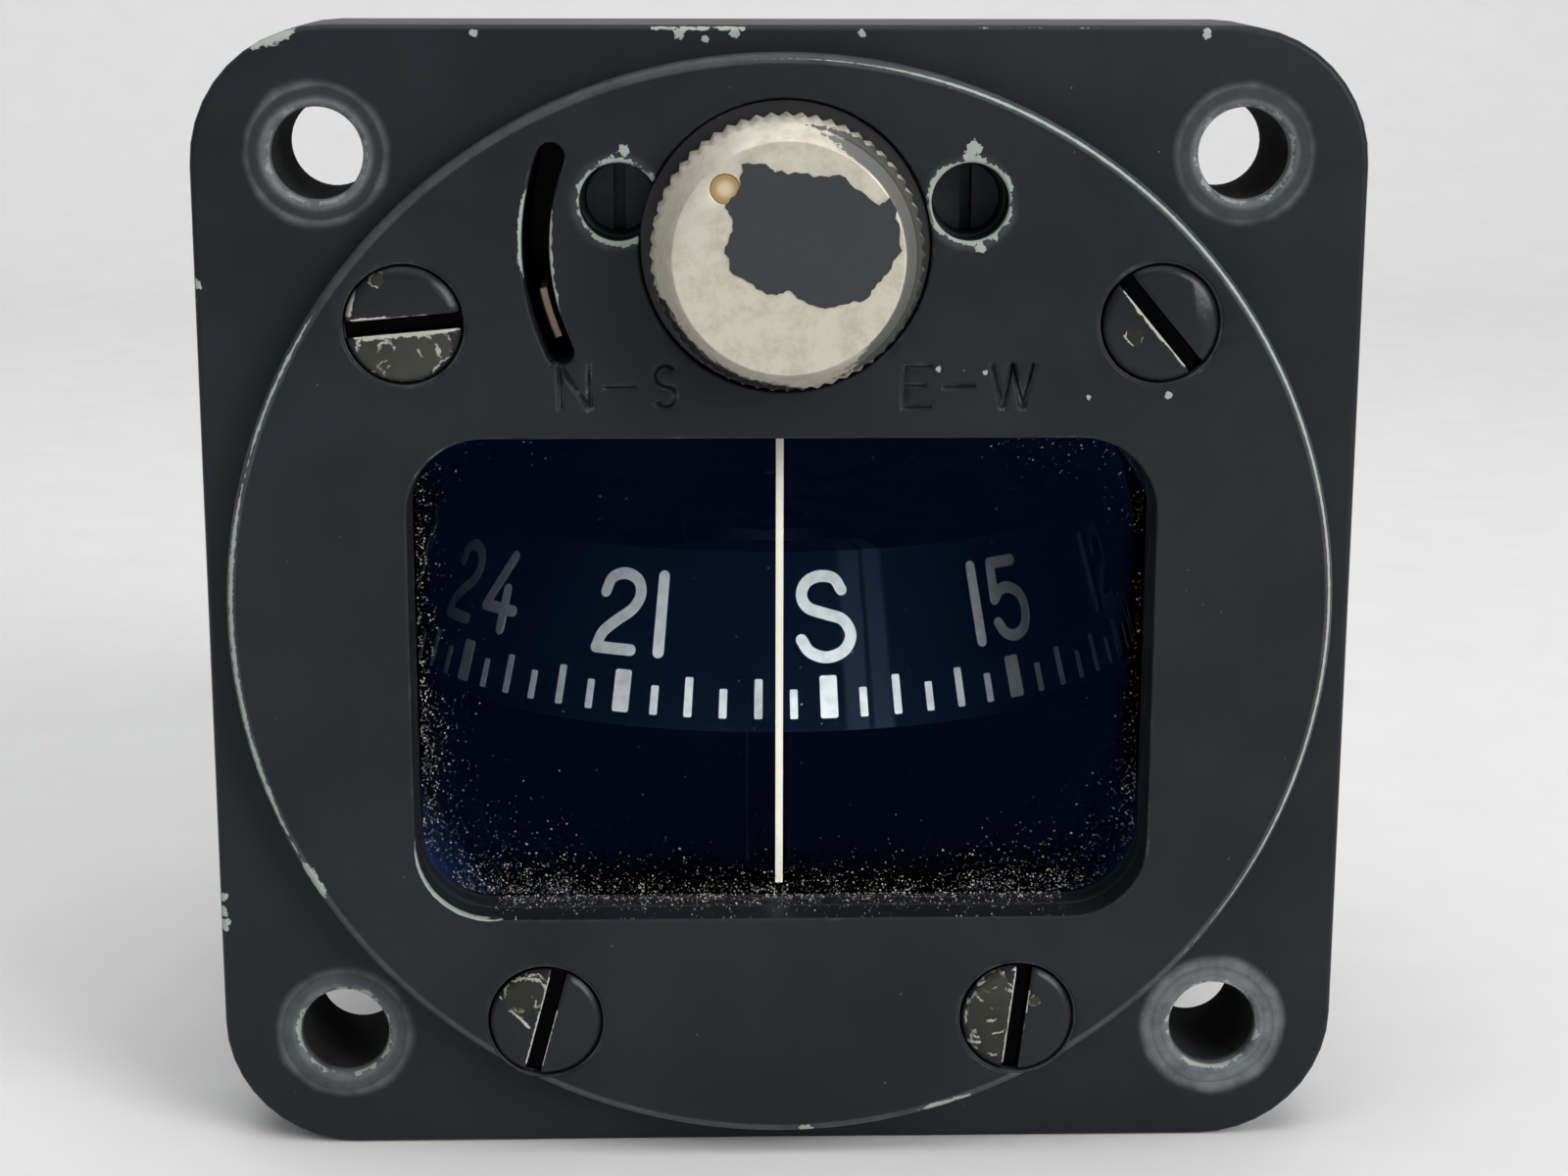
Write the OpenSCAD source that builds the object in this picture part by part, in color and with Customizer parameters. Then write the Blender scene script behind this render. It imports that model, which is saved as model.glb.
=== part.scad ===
// Panel compass with a vertical card, for the standard small square instrument pattern.
// Seen from the front, X runs right, Y runs back into the panel and Z runs up.
// The origin is the centre of the flange's front face, which seats against the panel.

/* [Flange] */
// Width and height of the square flange
flange_w = 60; // [59:0.5:66]
// Depth of the flange casting, front to back
flange_depth = 9; // [8:0.5:11]
// Radius of the flange's corners
flange_corner_r = 7; // [4:0.5:8]
// Distance between neighbouring bolt holes
bolt_pitch = 47.15; // [46.5:0.05:48]
// Radius of a bolt hole
bolt_hole_r = 2.35; // [1.8:0.05:2.6]
// Thickness of the web ahead of the bowl's seat
web_t = 4; // [3.6:0.1:5]

/* [Bezel] */
// Radius of the round bezel that shows through the panel
bezel_r = 28.7; // [28.4:0.1:29]
// Thickness of the bezel, which is how far it stands proud of the flange
bezel_t = 2.2; // [2:0.1:3]
// Radius worked on the bezel's front edge
bezel_edge_r = 0.5; // [0.2:0.1:0.9]
// Depth of the engraved marks
mark_depth = 0.25; // [0.1:0.05:0.5]
// Width of an engraved stroke
mark_stroke = 0.28; // [0.2:0.02:0.4]
// Height of the engraved letters
mark_h = 2.1; // [1.6:0.1:2.4]
// Height of the letters' centre line above the window
mark_rise = 2.7; // [2.2:0.1:3]

/* [Bezel screws] */
// Radius of a screw head
screw_head_r = 3; // [2.6:0.1:3.2]
// Thickness of a screw head
screw_head_t = 1.6; // [1.4:0.1:1.9]
// Radius of a screw shank
screw_r = 1.45; // [1.2:0.05:1.6]
// Width of a screwdriver slot
screw_slot_w = 0.8; // [0.6:0.05:1]
// Depth of a screwdriver slot
screw_slot_depth = 0.9; // [0.6:0.05:1]
// Sideways place of the two upper screws
upper_screw_x = 19.2; // [18.8:0.1:19.6]
// Height of the upper screws above the bowl's deck
upper_screw_rise = 4.2; // [3.8:0.1:4.6]
// Sideways place of the two lower screws
lower_screw_x = 12.6; // [11.5:0.1:13]
// Height of the lower screws, from the flange's centre
lower_screw_z = -22.2; // [-22.6:0.1:-21.8]
// Length of thread in the piece that a screw bites into
screw_bite = 6; // [4:0.5:7]

/* [Window] */
// Width of the window opening
window_w = 38.6; // [36:0.2:39]
// Height of the window opening
window_h = 25.8; // [24:0.2:26.4]
// Height of the window's centre, from the flange's centre
window_z = -3.6; // [-4:0.1:-3.2]
// Radius of the opening's corners
window_corner_r = 4; // [2.5:0.25:5]
// Thickness of the glass
pane_t = 2; // [1.5:0.1:2.5]
// How far the glass laps behind the opening's edge
pane_lap = 1.5; // [1:0.1:1.6]
// Thickness of the gasket ahead of the glass
window_seal_t = 0.4; // [0.3:0.05:0.6]
// Width of the lubber line
lubber_w = 0.4; // [0.3:0.05:0.6]
// Thickness of the lubber line
lubber_t = 0.3; // [0.2:0.05:0.4]

/* [Bowl] */
// Wall of the bowl
bowl_wall = 2; // [1.6:0.1:2.4]
// Room between the swinging card and the bowl
bowl_clear = 0.45; // [0.35:0.05:0.8]
// Thickness of the gasket ahead of the bowl's rim
bowl_seal_t = 0.6; // [0.4:0.05:0.9]
// Radius of the bowl's boss that carries the bellows
neck_r = 14.8; // [14.4:0.1:15.4]

/* [Card] */
// Radius of the card at its lower rim
card_r = 22.75; // [22.4:0.05:23]
// Height of the card's tapered skirt
card_h = 9.5; // [9:0.1:10]
// Lean of the skirt from upright, in degrees
card_lean = 16.7; // [12:0.1:18]
// Depth of the card's lower rim under the pivot
card_drop = 3.8; // [3.4:0.1:4.2]
// Thickness of the card
card_t = 0.4; // [0.3:0.05:0.6]
// Room between the swinging card and the lubber line
card_clear = 0.65; // [0.4:0.05:1]
// Outer radius of the ring magnet under the card
magnet_ring_r = 8.5; // [7.5:0.1:9.5]
// Radius of the ball at the pivot's point
pivot_ball_r = 0.5; // [0.4:0.05:0.6]

/* [Lamp] */
// Sideways place of the lamp's axis
lamp_x = 0.1; // [-0.3:0.1:0.3]
// Radius of the recess round the lamp
lamp_recess_r = 7.4; // [7.2:0.05:7.5]
// Outer radius of the lamp sleeve's tube
sleeve_r = 5.9; // [5.7:0.05:6]
// Wall of the lamp sleeve
sleeve_wall = 0.85; // [0.7:0.05:1]
// Depth of the lamp sleeve behind the flange's front face
sleeve_reach = 19; // [18.5:0.25:21]
// Radius of the knurled cap
cap_r = 6.8; // [6.5:0.05:7]
// Radius of the cap's flat face
cap_face_r = 5.7; // [5.2:0.1:6]
// How far the cap stands out ahead of the flange's front face
cap_reach = 7.5; // [7:0.25:9]
// Height of the bevel round the cap's face
cap_bevel = 1.8; // [1.2:0.1:2]
// Number of knurls round the cap
knurls = 56; // [40:2:64]
// Radius of the arc slot about the lamp's axis
arc_slot_r = 12.6; // [12.4:0.1:13]
// Width of the arc slot
arc_slot_w = 1.42; // [1.2:0.02:1.6]

/* [Correctors] */
// Sideways place of the north-south key
ns_key_x = -8.3; // [-8.8:0.1:-8.2]
// Sideways place of the east-west key
ew_key_x = 9.4; // [8.8:0.1:9.8]
// Height of both keys above the lamp's axis
key_rise = 2.25; // [2.1:0.05:2.6]
// Radius of a key hole in the bezel
key_hole_r = 1.97; // [1.9:0.01:2.1]
// Radius of a key spindle
spindle_r = 1.7; // [1.6:0.02:1.8]
// Gear module of the crown wheels and pinions
gear_module = 0.4; // [0.38:0.01:0.42]
// Teeth on a pinion
pinion_teeth = 12; // [10:2:14]
// Teeth on a crown wheel
wheel_teeth = 24; // [24:2:26]
// Length of a corrector magnet
bar_l = 10; // [8:0.2:10.2]
// Width of a corrector magnet
bar_w = 3.6; // [3.2:0.1:3.8]
// Thickness of a corrector magnet
bar_t = 1.6; // [1.4:0.1:1.8]
// Thickness of the corrector frame's base
frame_t = 1.4; // [1.2:0.1:1.6]
// Wall of the corrector cover
cover_t = 0.8; // [0.6:0.1:1.2]

/* [Bellows] */
// Outer radius of the bellows
bellows_r = 8.6; // [7.5:0.1:9]
// Length of the bellows
bellows_l = 6; // [5:0.5:7]
// Number of folds in the bellows
bellows_folds = 4; // [3:1:5]
// Travel of the bellows' end plate each way
bellows_travel = 0.8; // [0.5:0.1:1]

/* [Hidden] */
$fn = 64;

// Clearances: still joints, running joints, end play, and the overrun of a cut past a face
fit_gap = 0.1;
run_gap = 0.05;
end_gap = 0.1;
over = 1;

// Depths through the front, from the flange's front face back
bezel_front = -bezel_t;
pane_front = web_t - pane_t;
rebate_front = pane_front - window_seal_t;
rim_front = web_t + bowl_seal_t;
window_top = window_z + window_h / 2;
window_bottom = window_z - window_h / 2;
mark_z = window_top + mark_rise;

// Bezel screws: the heads stand a little proud of their counterbores
head_proud = 0.2;
head_bevel_w = 0.5;
head_bevel_t = 0.3;
counterbore_gap = 0.15;
screw_front = bezel_front - head_proud;
screw_seat = screw_front + screw_head_t;
counterbore_r = screw_head_r + counterbore_gap;

// The bowl is sized by the card's reach as it tilts, and stands level with the flange's lower edge
card_reach = norm([card_r, card_drop]);
pivot_y = web_t + lubber_t + card_clear + card_reach;
bowl_in_r = card_reach + bowl_clear;
bowl_r = bowl_in_r + bowl_wall;
pivot_z = bowl_r - flange_w / 2;

// The bowl's barrel is a little smaller than its round back, and a stepped spigot enters the flange
barrel_step = 0.2;
barrel_tail = 2;
barrel_r = bowl_r - barrel_step;
spigot_step = 1.5;
spigot_wall = 1.8;
spigot_r = barrel_r - spigot_step;
seat_r = spigot_r + 2 * fit_gap;
throat_r = spigot_r - spigot_wall;
throat_tail = 4;
throat_back = flange_depth + throat_tail;
deck_margin = 0.2;
deck_z = window_top + pane_lap + deck_margin;
deck_under = deck_z - bowl_wall;
boss_wall = 1.35;
boss_floor = 1.2;
boss_tail = 2.4;
boss_r = screw_r + boss_wall;
boss_back = rim_front + screw_bite + boss_tail;
neck_lead = 5;
neck_root = pivot_y + neck_lead;
neck_tail = 1.5;
neck_back = pivot_y + bowl_r + neck_tail;
vent_r = 3;

// Heights above the deck
base_top = deck_z + frame_t;
lamp_gap = 0.8;
lamp_z = base_top + lamp_gap + sleeve_r;
key_z = lamp_z + key_rise;
upper_screw_z = deck_z + upper_screw_rise;
upper_screws = [[-upper_screw_x, upper_screw_z], [upper_screw_x, upper_screw_z]];
lower_screws = [[-lower_screw_x, lower_screw_z], [lower_screw_x, lower_screw_z]];
front_screws = concat(upper_screws, lower_screws);
keys = [[ns_key_x, key_z], [ew_key_x, key_z]];

// Card: a leaning skirt with a narrow shelf, on a spider
card_bottom = pivot_z - card_drop;
card_top = card_bottom + card_h;
card_top_r = card_r - card_h * tan(card_lean);
card_shelf = 3;
shelf_r = card_top_r - card_shelf;
spider_t = 0.8;
spider_ring_w = 1.6;
spider_arm_w = 1.4;
spider_arm_root = 1;
spider_top = card_top - card_t;
spider_bottom = spider_top - spider_t;
hub_r = 2.2;
hub_below = 1.8;
hub_above = 1.2;
hub_bottom = spider_top - hub_below;
hub_top = spider_top + hub_above;

// Ring magnet, hung under the hub on a bell with a lip
bell_r = 5.2;
bell_wall = 0.5;
bell_lip = 1.6;
bell_lap = 0.4;
bell_top = hub_bottom + bell_lap;
ring_t = 3;
ring_drop = 4.5;
ring_bottom = pivot_z - ring_drop;

// Pivot: a pin with a ball point, in a jewelled cup on a stem
pin_r = 0.6;
pin_tip_r = 0.5;
pin_tip_h = 0.4;
pin_tip_lift = 0.4;
pin_collar_r = 1;
pin_collar_t = 0.5;
pin_sink = 0.2;
socket_gap = 0.05;
cup_gap = 0.08;
cup_r = 1.6;
cup_depth = 1.6;
cup_rise = 0.45;
cup_flare = 0.85;
holder_r = 2.3;
holder_drop = 3.5;
holder_bottom = pivot_z - holder_drop;
stem_r = 1.4;
stem_foot_r = 2.8;
stem_foot_t = 1;
stem_socket = 3;
stem_boss_r = 4;
stem_boss_h = 4;
stem_boss_top = pivot_z - bowl_in_r + stem_boss_h;

// Lamp sleeve, cap and bulb
arc_slot_ends = [159, 205];
collar_sink = 0.3;
collar_r = lamp_recess_r - run_gap;
collar_front = bezel_front + collar_sink;
sleeve_in_r = sleeve_r - sleeve_wall;
shank_r = sleeve_in_r - run_gap;
shank_back = 5;
cap_lift = 0.2;
cap_back = collar_front - cap_lift;
cap_back_bevel = 0.4;
knurl_depth = 0.25;
cap_pin_r = 0.7;
cap_pin_l = 3;
cap_pin_at = [-3.1, 3.4];
swivel_r = 1.5;
swivel_l = 3;
bulb_r = 2.9;
bulb_l = 5.3;
bulb_front = 8.6;
base_front = bulb_front + bulb_l;
base_r = 2.45;
tip_r = 0.8;
tip_h = 0.5;
tip_clear = 1.9;
bulb_tip = sleeve_reach - tip_clear;
base_back = bulb_tip - tip_h;
carrier_lift = 0.2;
carrier_front = shank_back + carrier_lift;
carrier_wall = 0.7;
carrier_floor = 1.2;
carrier_lap = 0.4;
insulator_t = 1.2;
plunger_r = 1.2;
plunger_proud = 0.5;
plunger_back = sleeve_reach + plunger_proud;
guide_gap = 2.3;
guide_l = 4.2;
guide_front = flange_depth + guide_gap;
guide_slot = [guide_front, guide_front + guide_l];
guide_w = 7;
guide_rise = 0.5;

// Corrector gear train: one pinion drives an upper and a lower crown wheel about each post
front_plate_t = 2;
plate_back = flange_depth + front_plate_t;
pinion_r = gear_module * pinion_teeth / 2;
wheel_r = gear_module * wheel_teeth / 2;
tooth_up = 0.7 * gear_module;
tooth_down = gear_module;
tooth_root_w = 1.5 * gear_module;
tooth_tip_w = 0.65 * gear_module;
tooth_sink = 0.1;
tooth_face = 1.25;
rim_margin = 0.02;
pinion_face = 1.1;
pinion_gap = 0.65;
wheel_rim = 0.65;
wheel_out_r = wheel_r + wheel_rim;
wheel_in_r = wheel_out_r - tooth_face;
pinion_front = sleeve_reach + pinion_gap;
pinion_back = pinion_front + pinion_face;
post_y = pinion_front + pinion_face / 2 + wheel_r;
post_r = 0.7;
post_places = [[ns_key_x, post_y], [ew_key_x, post_y]];
wheel_hub_r = 1.3;
wheel_t = 0.9;
spacer_r = 1.5;
face_drop = pinion_r + tooth_down;
lower_face = key_z - face_drop;
upper_face = key_z + face_drop;
lower_bar = lower_face - wheel_t - bar_t;
upper_bar = upper_face + wheel_t;
spindle_front = 0.8;
spindle_slot_w = 0.6;
spindle_slot_depth = 1;
spindle_collar_r = 2.3;
spindle_collar_t = 1;
spindle_end_r = 1.2;
spindle_tail = 0.3;

// Corrector bridge, its pillars, and the cover over it all
bridge_gap = 0.3;
bridge_t = 0.7;
bridge_bottom = upper_face + wheel_t + bar_t + bridge_gap;
bridge_top = bridge_bottom + bridge_t;
bridge_window_r = 3.5;
bridge_window_setback = 6;
bridge_window_x = (ns_key_x + ew_key_x) / 2;
bridge_window_y = post_y - bridge_window_setback;
bridge_head_t = 0.45;
cover_side_room = 1.45;
cover_back_room = 2.05;
cover_corner_r = 2;
cover_top = bridge_top + bridge_head_t + end_gap + cover_t;
cover_in_x = max(-ns_key_x, ew_key_x) + wheel_out_r + cover_side_room;
cover_in_y = post_y + wheel_out_r + cover_back_room;
cover_x = cover_in_x + cover_t;
cover_y = cover_in_y + cover_t;
pillar_r = 1.5;
pillar_screw_r = 0.7;
pillar_hole_r = pillar_screw_r + fit_gap / 2;
pillar_bite = 2.5;
pillar_x = cover_in_x - cover_corner_r;
pillar_rows = [plate_back + cover_corner_r, cover_in_y - cover_corner_r];
pillars = [for (x = [-pillar_x, pillar_x], y = pillar_rows) [x, y]];
tab_w = 5;
tab_x = 2.7;
tab_setback = 1;
tab_y = post_y + tab_setback;
cover_screw_x = cover_x + tab_x / 2;
cover_screws_at = [[-cover_screw_x, tab_y], [cover_screw_x, tab_y]];
cover_screw_r = 0.8;
cover_head_t = 0.8;
cover_hole_floor = 0.4;
cover_screw_bite = cover_t + bowl_wall - cover_hole_floor - end_gap;
lug_tail = 0.5;
driver_slot_w = 0.5;

// Copper strips, the terminal block behind the cover, and the filler behind that
strip_t = 0.4;
strip_w = 2.4;
strip_ends = [191, 203];
strip_slack = 1;
strip_gap = 0.3;
strip_front = 0.6;
strip_tail = 2.4;
strip_back = plate_back + strip_tail;
block_w = 14;
block_gap = 0.2;
block_l = 6.5;
block_rise = 1.9;
block_front = cover_y + block_gap;
block_back = block_front + block_l;
block_top = lamp_z + block_rise;
block_slot_w = 1.2;
block_slot_depth = 2;
terminal_x = 3.5;
terminal_inset = 2.6;
terminal_y = block_back - terminal_inset;
terminal_bite = 2.6;
terminal_bore = 4;
terminal_head_r = 1.7;
terminal_head_t = 1.1;
terminal_slot_w = 0.6;
terminal_r = 0.95;
wire_r = 1.2;
wire_drop = 3;
filler_room = 3.6;
filler_y = block_back + filler_room;
filler_r = 2;
filler_head_r = 3;
filler_head_t = 2;
filler_slot_w = 0.8;
filler_end = 0.3;
washer_r = 3.3;
washer_t = 0.5;
filler_bite = washer_t + bowl_wall - filler_end;

// Bellows behind the bowl, under a vented cover
bellows_wall = 0.3;
bellows_fold = 1.8;
bellows_foot_t = 0.5;
bellows_foot_w = 0.4;
bellows_back = neck_back + bellows_l;
fold_pitch = (bellows_l - bellows_foot_t) / bellows_folds;
plate_t = 0.8;
plate_inset = 0.6;
bellows_cover_r = 11.2;
bellows_cover_t = 1;
bellows_flange_t = 1.2;
bellows_cover_bevel = 0.8;
bellows_cover_room = 3.4;
bellows_cover_back = bellows_back + plate_t + bellows_travel + bellows_cover_room;
bellows_cover_vent_r = 1.5;
bellows_seat = neck_back + bellows_flange_t;
bellows_screw_r = 0.9;
bellows_hole_r = bellows_screw_r + fit_gap / 2;
bellows_screw_bite = 2.8;
bellows_hole_depth = 3;
bellows_screw_pitch_r = (bellows_cover_r + neck_r) / 2;
bellows_head_r = (neck_r - bellows_cover_r) / 2 - fit_gap;
bellows_head_t = 1;
bellows_screws_at = [for (a = [90 : 120 : 330])
    [bellows_screw_pitch_r * cos(a), pivot_z + bellows_screw_pitch_r * sin(a)]];

// Placing helpers: rods, plates and turned shapes along Y, rods and plates along Z
module rod_y(r, from, to, x = 0, z = 0) translate([x, from, z]) rotate([-90, 0, 0])
    cylinder(r = r, h = to - from);
module rod_z(r, from, to, x = 0, y = 0) translate([x, y, from])
    cylinder(r = r, h = to - from);
module rods_y(places, r, from, to) for (p = places) rod_y(r, from, to, p[0], p[1]);
module rods_z(places, r, from, to) for (p = places) rod_z(r, from, to, p[0], p[1]);
module plate_y(from, to) translate([0, to, 0]) rotate([90, 0, 0]) linear_extrude(to - from) children();
module plate_z(from, to) translate([0, 0, from]) linear_extrude(to - from) children();
module turned_y(x, z) translate([x, 0, z]) rotate([-90, 0, 0]) rotate_extrude() children();
module turned_z() translate([0, pivot_y, 0]) rotate_extrude() children();
module block(low, high) translate(low) cube(high - low);

// Outlines worked out from their own sizes
function arc(cx, cy, r, from, to, steps) =
    [for (i = [0 : steps]) let (a = from + (to - from) * i / steps) [cx + r * cos(a), cy + r * sin(a)]];
function round_rect(w, h, r, steps = 10) = [for (q = [0 : 3])
    let (sx = (q == 0 || q == 3) ? 1 : -1, sy = q < 2 ? 1 : -1)
    each arc(sx * (w / 2 - r), sy * (h / 2 - r), r, 90 * q, 90 * q + 90, steps)];
function band(r, w, from, to, steps = 12) =
    concat(arc(0, 0, r + w / 2, from, to, steps), arc(0, 0, r - w / 2, to, from, steps));
function round_band(r, w, from, to) = concat(
    arc(0, 0, r + w / 2, from, to, 12),
    arc(r * cos(to), r * sin(to), w / 2, to, to + 180, 8),
    arc(0, 0, r - w / 2, to, from, 12),
    arc(r * cos(from), r * sin(from), w / 2, from + 180, from + 360, 8));

module window_outline(grow) translate([0, window_z])
    polygon(round_rect(window_w + 2 * grow, window_h + 2 * grow, window_corner_r + grow));
module lamp_arc(w, from, to) translate([lamp_x, lamp_z])
    polygon(round_band(arc_slot_r, w, from, to));

// A round outline with its top cut level, as the bowl and its seat have
module level_round(r, top) intersection() {
    translate([0, pivot_z]) circle(r);
    translate([-bowl_r, pivot_z - bowl_r - over]) square([2 * bowl_r, top - pivot_z + bowl_r + over]);
}

// A slotted screw along Z: its head seats at zero and its shank runs down from it
module small_screw(r, bite, head_r, head_t, slot_w = driver_slot_w) difference() {
    union() {
        rod_z(r, -bite, head_t / 4);
        rod_z(head_r, 0, head_t);
    }
    block([-head_r - over, -slot_w / 2, head_t / 2], [head_r + over, slot_w / 2, head_t + over]);
}

module mounting_flange() color("#26282b") difference() {
    through = flange_depth + over;
    plate_y(0, flange_depth) polygon(round_rect(flange_w, flange_w, flange_corner_r));
    plate_y(-over, web_t + over) window_outline(0);
    plate_y(rebate_front, web_t + over) window_outline(pane_lap + fit_gap / 2);
    plate_y(web_t, through) level_round(seat_r, deck_z + fit_gap);
    for (x = [-1, 1], z = [-1, 1]) rod_y(bolt_hole_r, -over, through, x * bolt_pitch / 2, z * bolt_pitch / 2);
    rods_y(front_screws, screw_r + fit_gap, -over, through);
    rod_y(sleeve_r + run_gap, -over, through, lamp_x, lamp_z);
    rods_y(keys, spindle_r + run_gap, -over, through);
    plate_y(-over, through) lamp_arc(arc_slot_w, arc_slot_ends[0], arc_slot_ends[1]);
}

// One straight engraved stroke between two points, and the letters made of such strokes
module stroke(a, b) translate(a) rotate(atan2(b[1] - a[1], b[0] - a[0]))
    translate([-mark_stroke / 2, -mark_stroke / 2]) square([norm(b - a) + mark_stroke, mark_stroke]);
module path(points) for (i = [0 : len(points) - 2])
    stroke(points[i] * mark_h / 2, points[i + 1] * mark_h / 2);
module letter_n() path([[-0.7, -1], [-0.7, 1], [0.7, -1], [0.7, 1]]);
module letter_e() {
    path([[0.6, 1], [-0.6, 1], [-0.6, -1], [0.6, -1]]);
    path([[-0.6, 0.05], [0.35, 0.05]]);
}
module letter_w() path([[-1, 1], [-0.5, -1], [0, 1], [0.5, -1], [1, 1]]);
module letter_s() {
    translate([0, mark_h / 4]) polygon(band(mark_h / 4, mark_stroke, 30, 270));
    translate([0, -mark_h / 4]) polygon(band(mark_h / 4, mark_stroke, -150, 90));
}
module mark_dash() path([[-0.65, 0], [0.65, 0]]);

// Under each key stand the two ends of the line that it corrects, with a dash between
module ns_marks() translate([ns_key_x, mark_z]) {
    translate([-1.1 * mark_h, 0]) letter_n();
    mark_dash();
    translate([1.1 * mark_h, 0]) letter_s();
}
module ew_marks() translate([ew_key_x, mark_z]) {
    translate([-1.24 * mark_h, 0]) letter_e();
    translate([-0.2 * mark_h, 0]) mark_dash();
    translate([1.1 * mark_h, 0]) letter_w();
}

module bezel_plate() color("#26282b") difference() {
    front = bezel_front - over;
    edge = arc(bezel_r - bezel_edge_r, bezel_front + bezel_edge_r, bezel_edge_r, -90, 0, 4);
    turned_y(0, 0) polygon(concat([[0, bezel_front]], edge, [[bezel_r, 0], [0, 0]]));
    plate_y(front, over) window_outline(0);
    rods_y(front_screws, counterbore_r, front, screw_seat);
    rods_y(front_screws, screw_r + fit_gap, front, over);
    rod_y(lamp_recess_r, front, over, lamp_x, lamp_z);
    rods_y(keys, key_hole_r, front, over);
    plate_y(front, over) lamp_arc(arc_slot_w, arc_slot_ends[0], arc_slot_ends[1]);
    plate_y(front, bezel_front + mark_depth) {
        ns_marks();
        ew_marks();
    }
}

// One slotted cheese-head screw along Y: a bevelled head, a straight shank and a slot at its own angle
module slotted_screw(place, back, slot_angle) translate([place[0], 0, place[1]]) difference() {
    union() {
        turned_y(0, 0) polygon([[0, screw_front], [screw_head_r - head_bevel_w, screw_front],
            [screw_head_r, screw_front + head_bevel_t], [screw_head_r, screw_seat], [0, screw_seat]]);
        rod_y(screw_r, screw_seat - fit_gap, back);
    }
    rotate([0, -slot_angle, 0]) block([-2 * screw_head_r, screw_front - over, -screw_slot_w / 2],
        [2 * screw_head_r, screw_front + screw_slot_depth, screw_slot_w / 2]);
}
module bezel_screws() color("#2b2d2f") {
    slotted_screw(upper_screws[0], flange_depth + screw_bite, 5);
    slotted_screw(upper_screws[1], flange_depth + screw_bite, -50);
    slotted_screw(lower_screws[0], rim_front + screw_bite, 75);
    slotted_screw(lower_screws[1], rim_front + screw_bite, 83);
}

// The glass stands in a rebate of the web, between two gaskets, with the lubber line on its back
module window_seal() color("#141414") plate_y(rebate_front, pane_front) difference() {
    window_outline(pane_lap);
    window_outline(fit_gap);
}
module window_pane() color([0.75, 0.82, 0.88, 0.35]) plate_y(pane_front, web_t) window_outline(pane_lap);
module lubber_line() color("#e9e2cf") block([-lubber_w / 2, web_t, window_bottom],
    [lubber_w / 2, web_t + lubber_t, deck_under - fit_gap]);

// The bowl: a round-backed barrel cut level on top for its deck, with a spigot that enters the flange
module bowl_outside() intersection() {
    union() {
        translate([0, pivot_y, pivot_z]) rotate([90, 0, 0]) sphere(bowl_r);
        rod_y(barrel_r, flange_depth, pivot_y + barrel_tail, 0, pivot_z);
        rod_y(spigot_r, rim_front, flange_depth + over, 0, pivot_z);
        rod_y(neck_r, neck_root, neck_back, 0, pivot_z);
    }
    block([-2 * bowl_r, rim_front, -2 * bowl_r], [2 * bowl_r, 2 * neck_back, deck_z]);
}
module bowl_inside() intersection() {
    union() {
        translate([0, pivot_y, pivot_z]) rotate([90, 0, 0]) sphere(bowl_in_r);
        rod_y(bowl_in_r - barrel_step, throat_back, pivot_y + barrel_tail, 0, pivot_z);
        rod_y(throat_r, rim_front - over, throat_back + over, 0, pivot_z);
    }
    block([-2 * bowl_r, -over, -2 * bowl_r], [2 * bowl_r, 2 * neck_back, deck_under]);
}
// The clear block's slot through the deck and the corrector frame's base
module guide_hole(from, to) block([lamp_x - (guide_w + fit_gap) / 2, guide_slot[0] - fit_gap / 2, from],
    [lamp_x + (guide_w + fit_gap) / 2, guide_slot[1] + fit_gap / 2, to]);
module bowl() color("#1d1e20") difference() {
    bowl_outside();
    difference() {
        bowl_inside();
        rods_y(lower_screws, boss_r, 0, boss_back);
        rod_z(stem_boss_r, pivot_z - 2 * bowl_r, stem_boss_top, 0, pivot_y);
    }
    rods_y(lower_screws, screw_r + fit_gap / 2, 0, boss_back - boss_floor);
    rod_z(stem_r + fit_gap / 2, stem_boss_top - stem_socket, stem_boss_top + over, 0, pivot_y);
    rod_y(vent_r, pivot_y, neck_back + over, 0, pivot_z);
    rod_z(filler_r, deck_under - over, deck_z + over, 0, filler_y);
    guide_hole(deck_under - over, deck_z + over);
    rods_z(cover_screws_at, cover_screw_r + fit_gap / 2, deck_under + cover_hole_floor, deck_z + over);
    rods_y(bellows_screws_at, bellows_hole_r, neck_back - bellows_hole_depth, neck_back + over);
}
module bowl_seal() color("#161616") plate_y(web_t, rim_front) difference() {
    level_round(spigot_r, deck_z);
    level_round(throat_r + fit_gap, deck_under);
    for (p = lower_screws) translate(p) circle(screw_r + fit_gap);
}

module filler_washer() color("#8d4f33") difference() {
    rod_z(washer_r, deck_z, deck_z + washer_t, 0, filler_y);
    rod_z(filler_r + fit_gap, deck_z - over, deck_z + washer_t + over, 0, filler_y);
}
module filler_plug() color("#b59a5a") translate([0, filler_y, deck_z + washer_t])
    small_screw(filler_r - run_gap, filler_bite, filler_head_r, filler_head_t, filler_slot_w);

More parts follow.
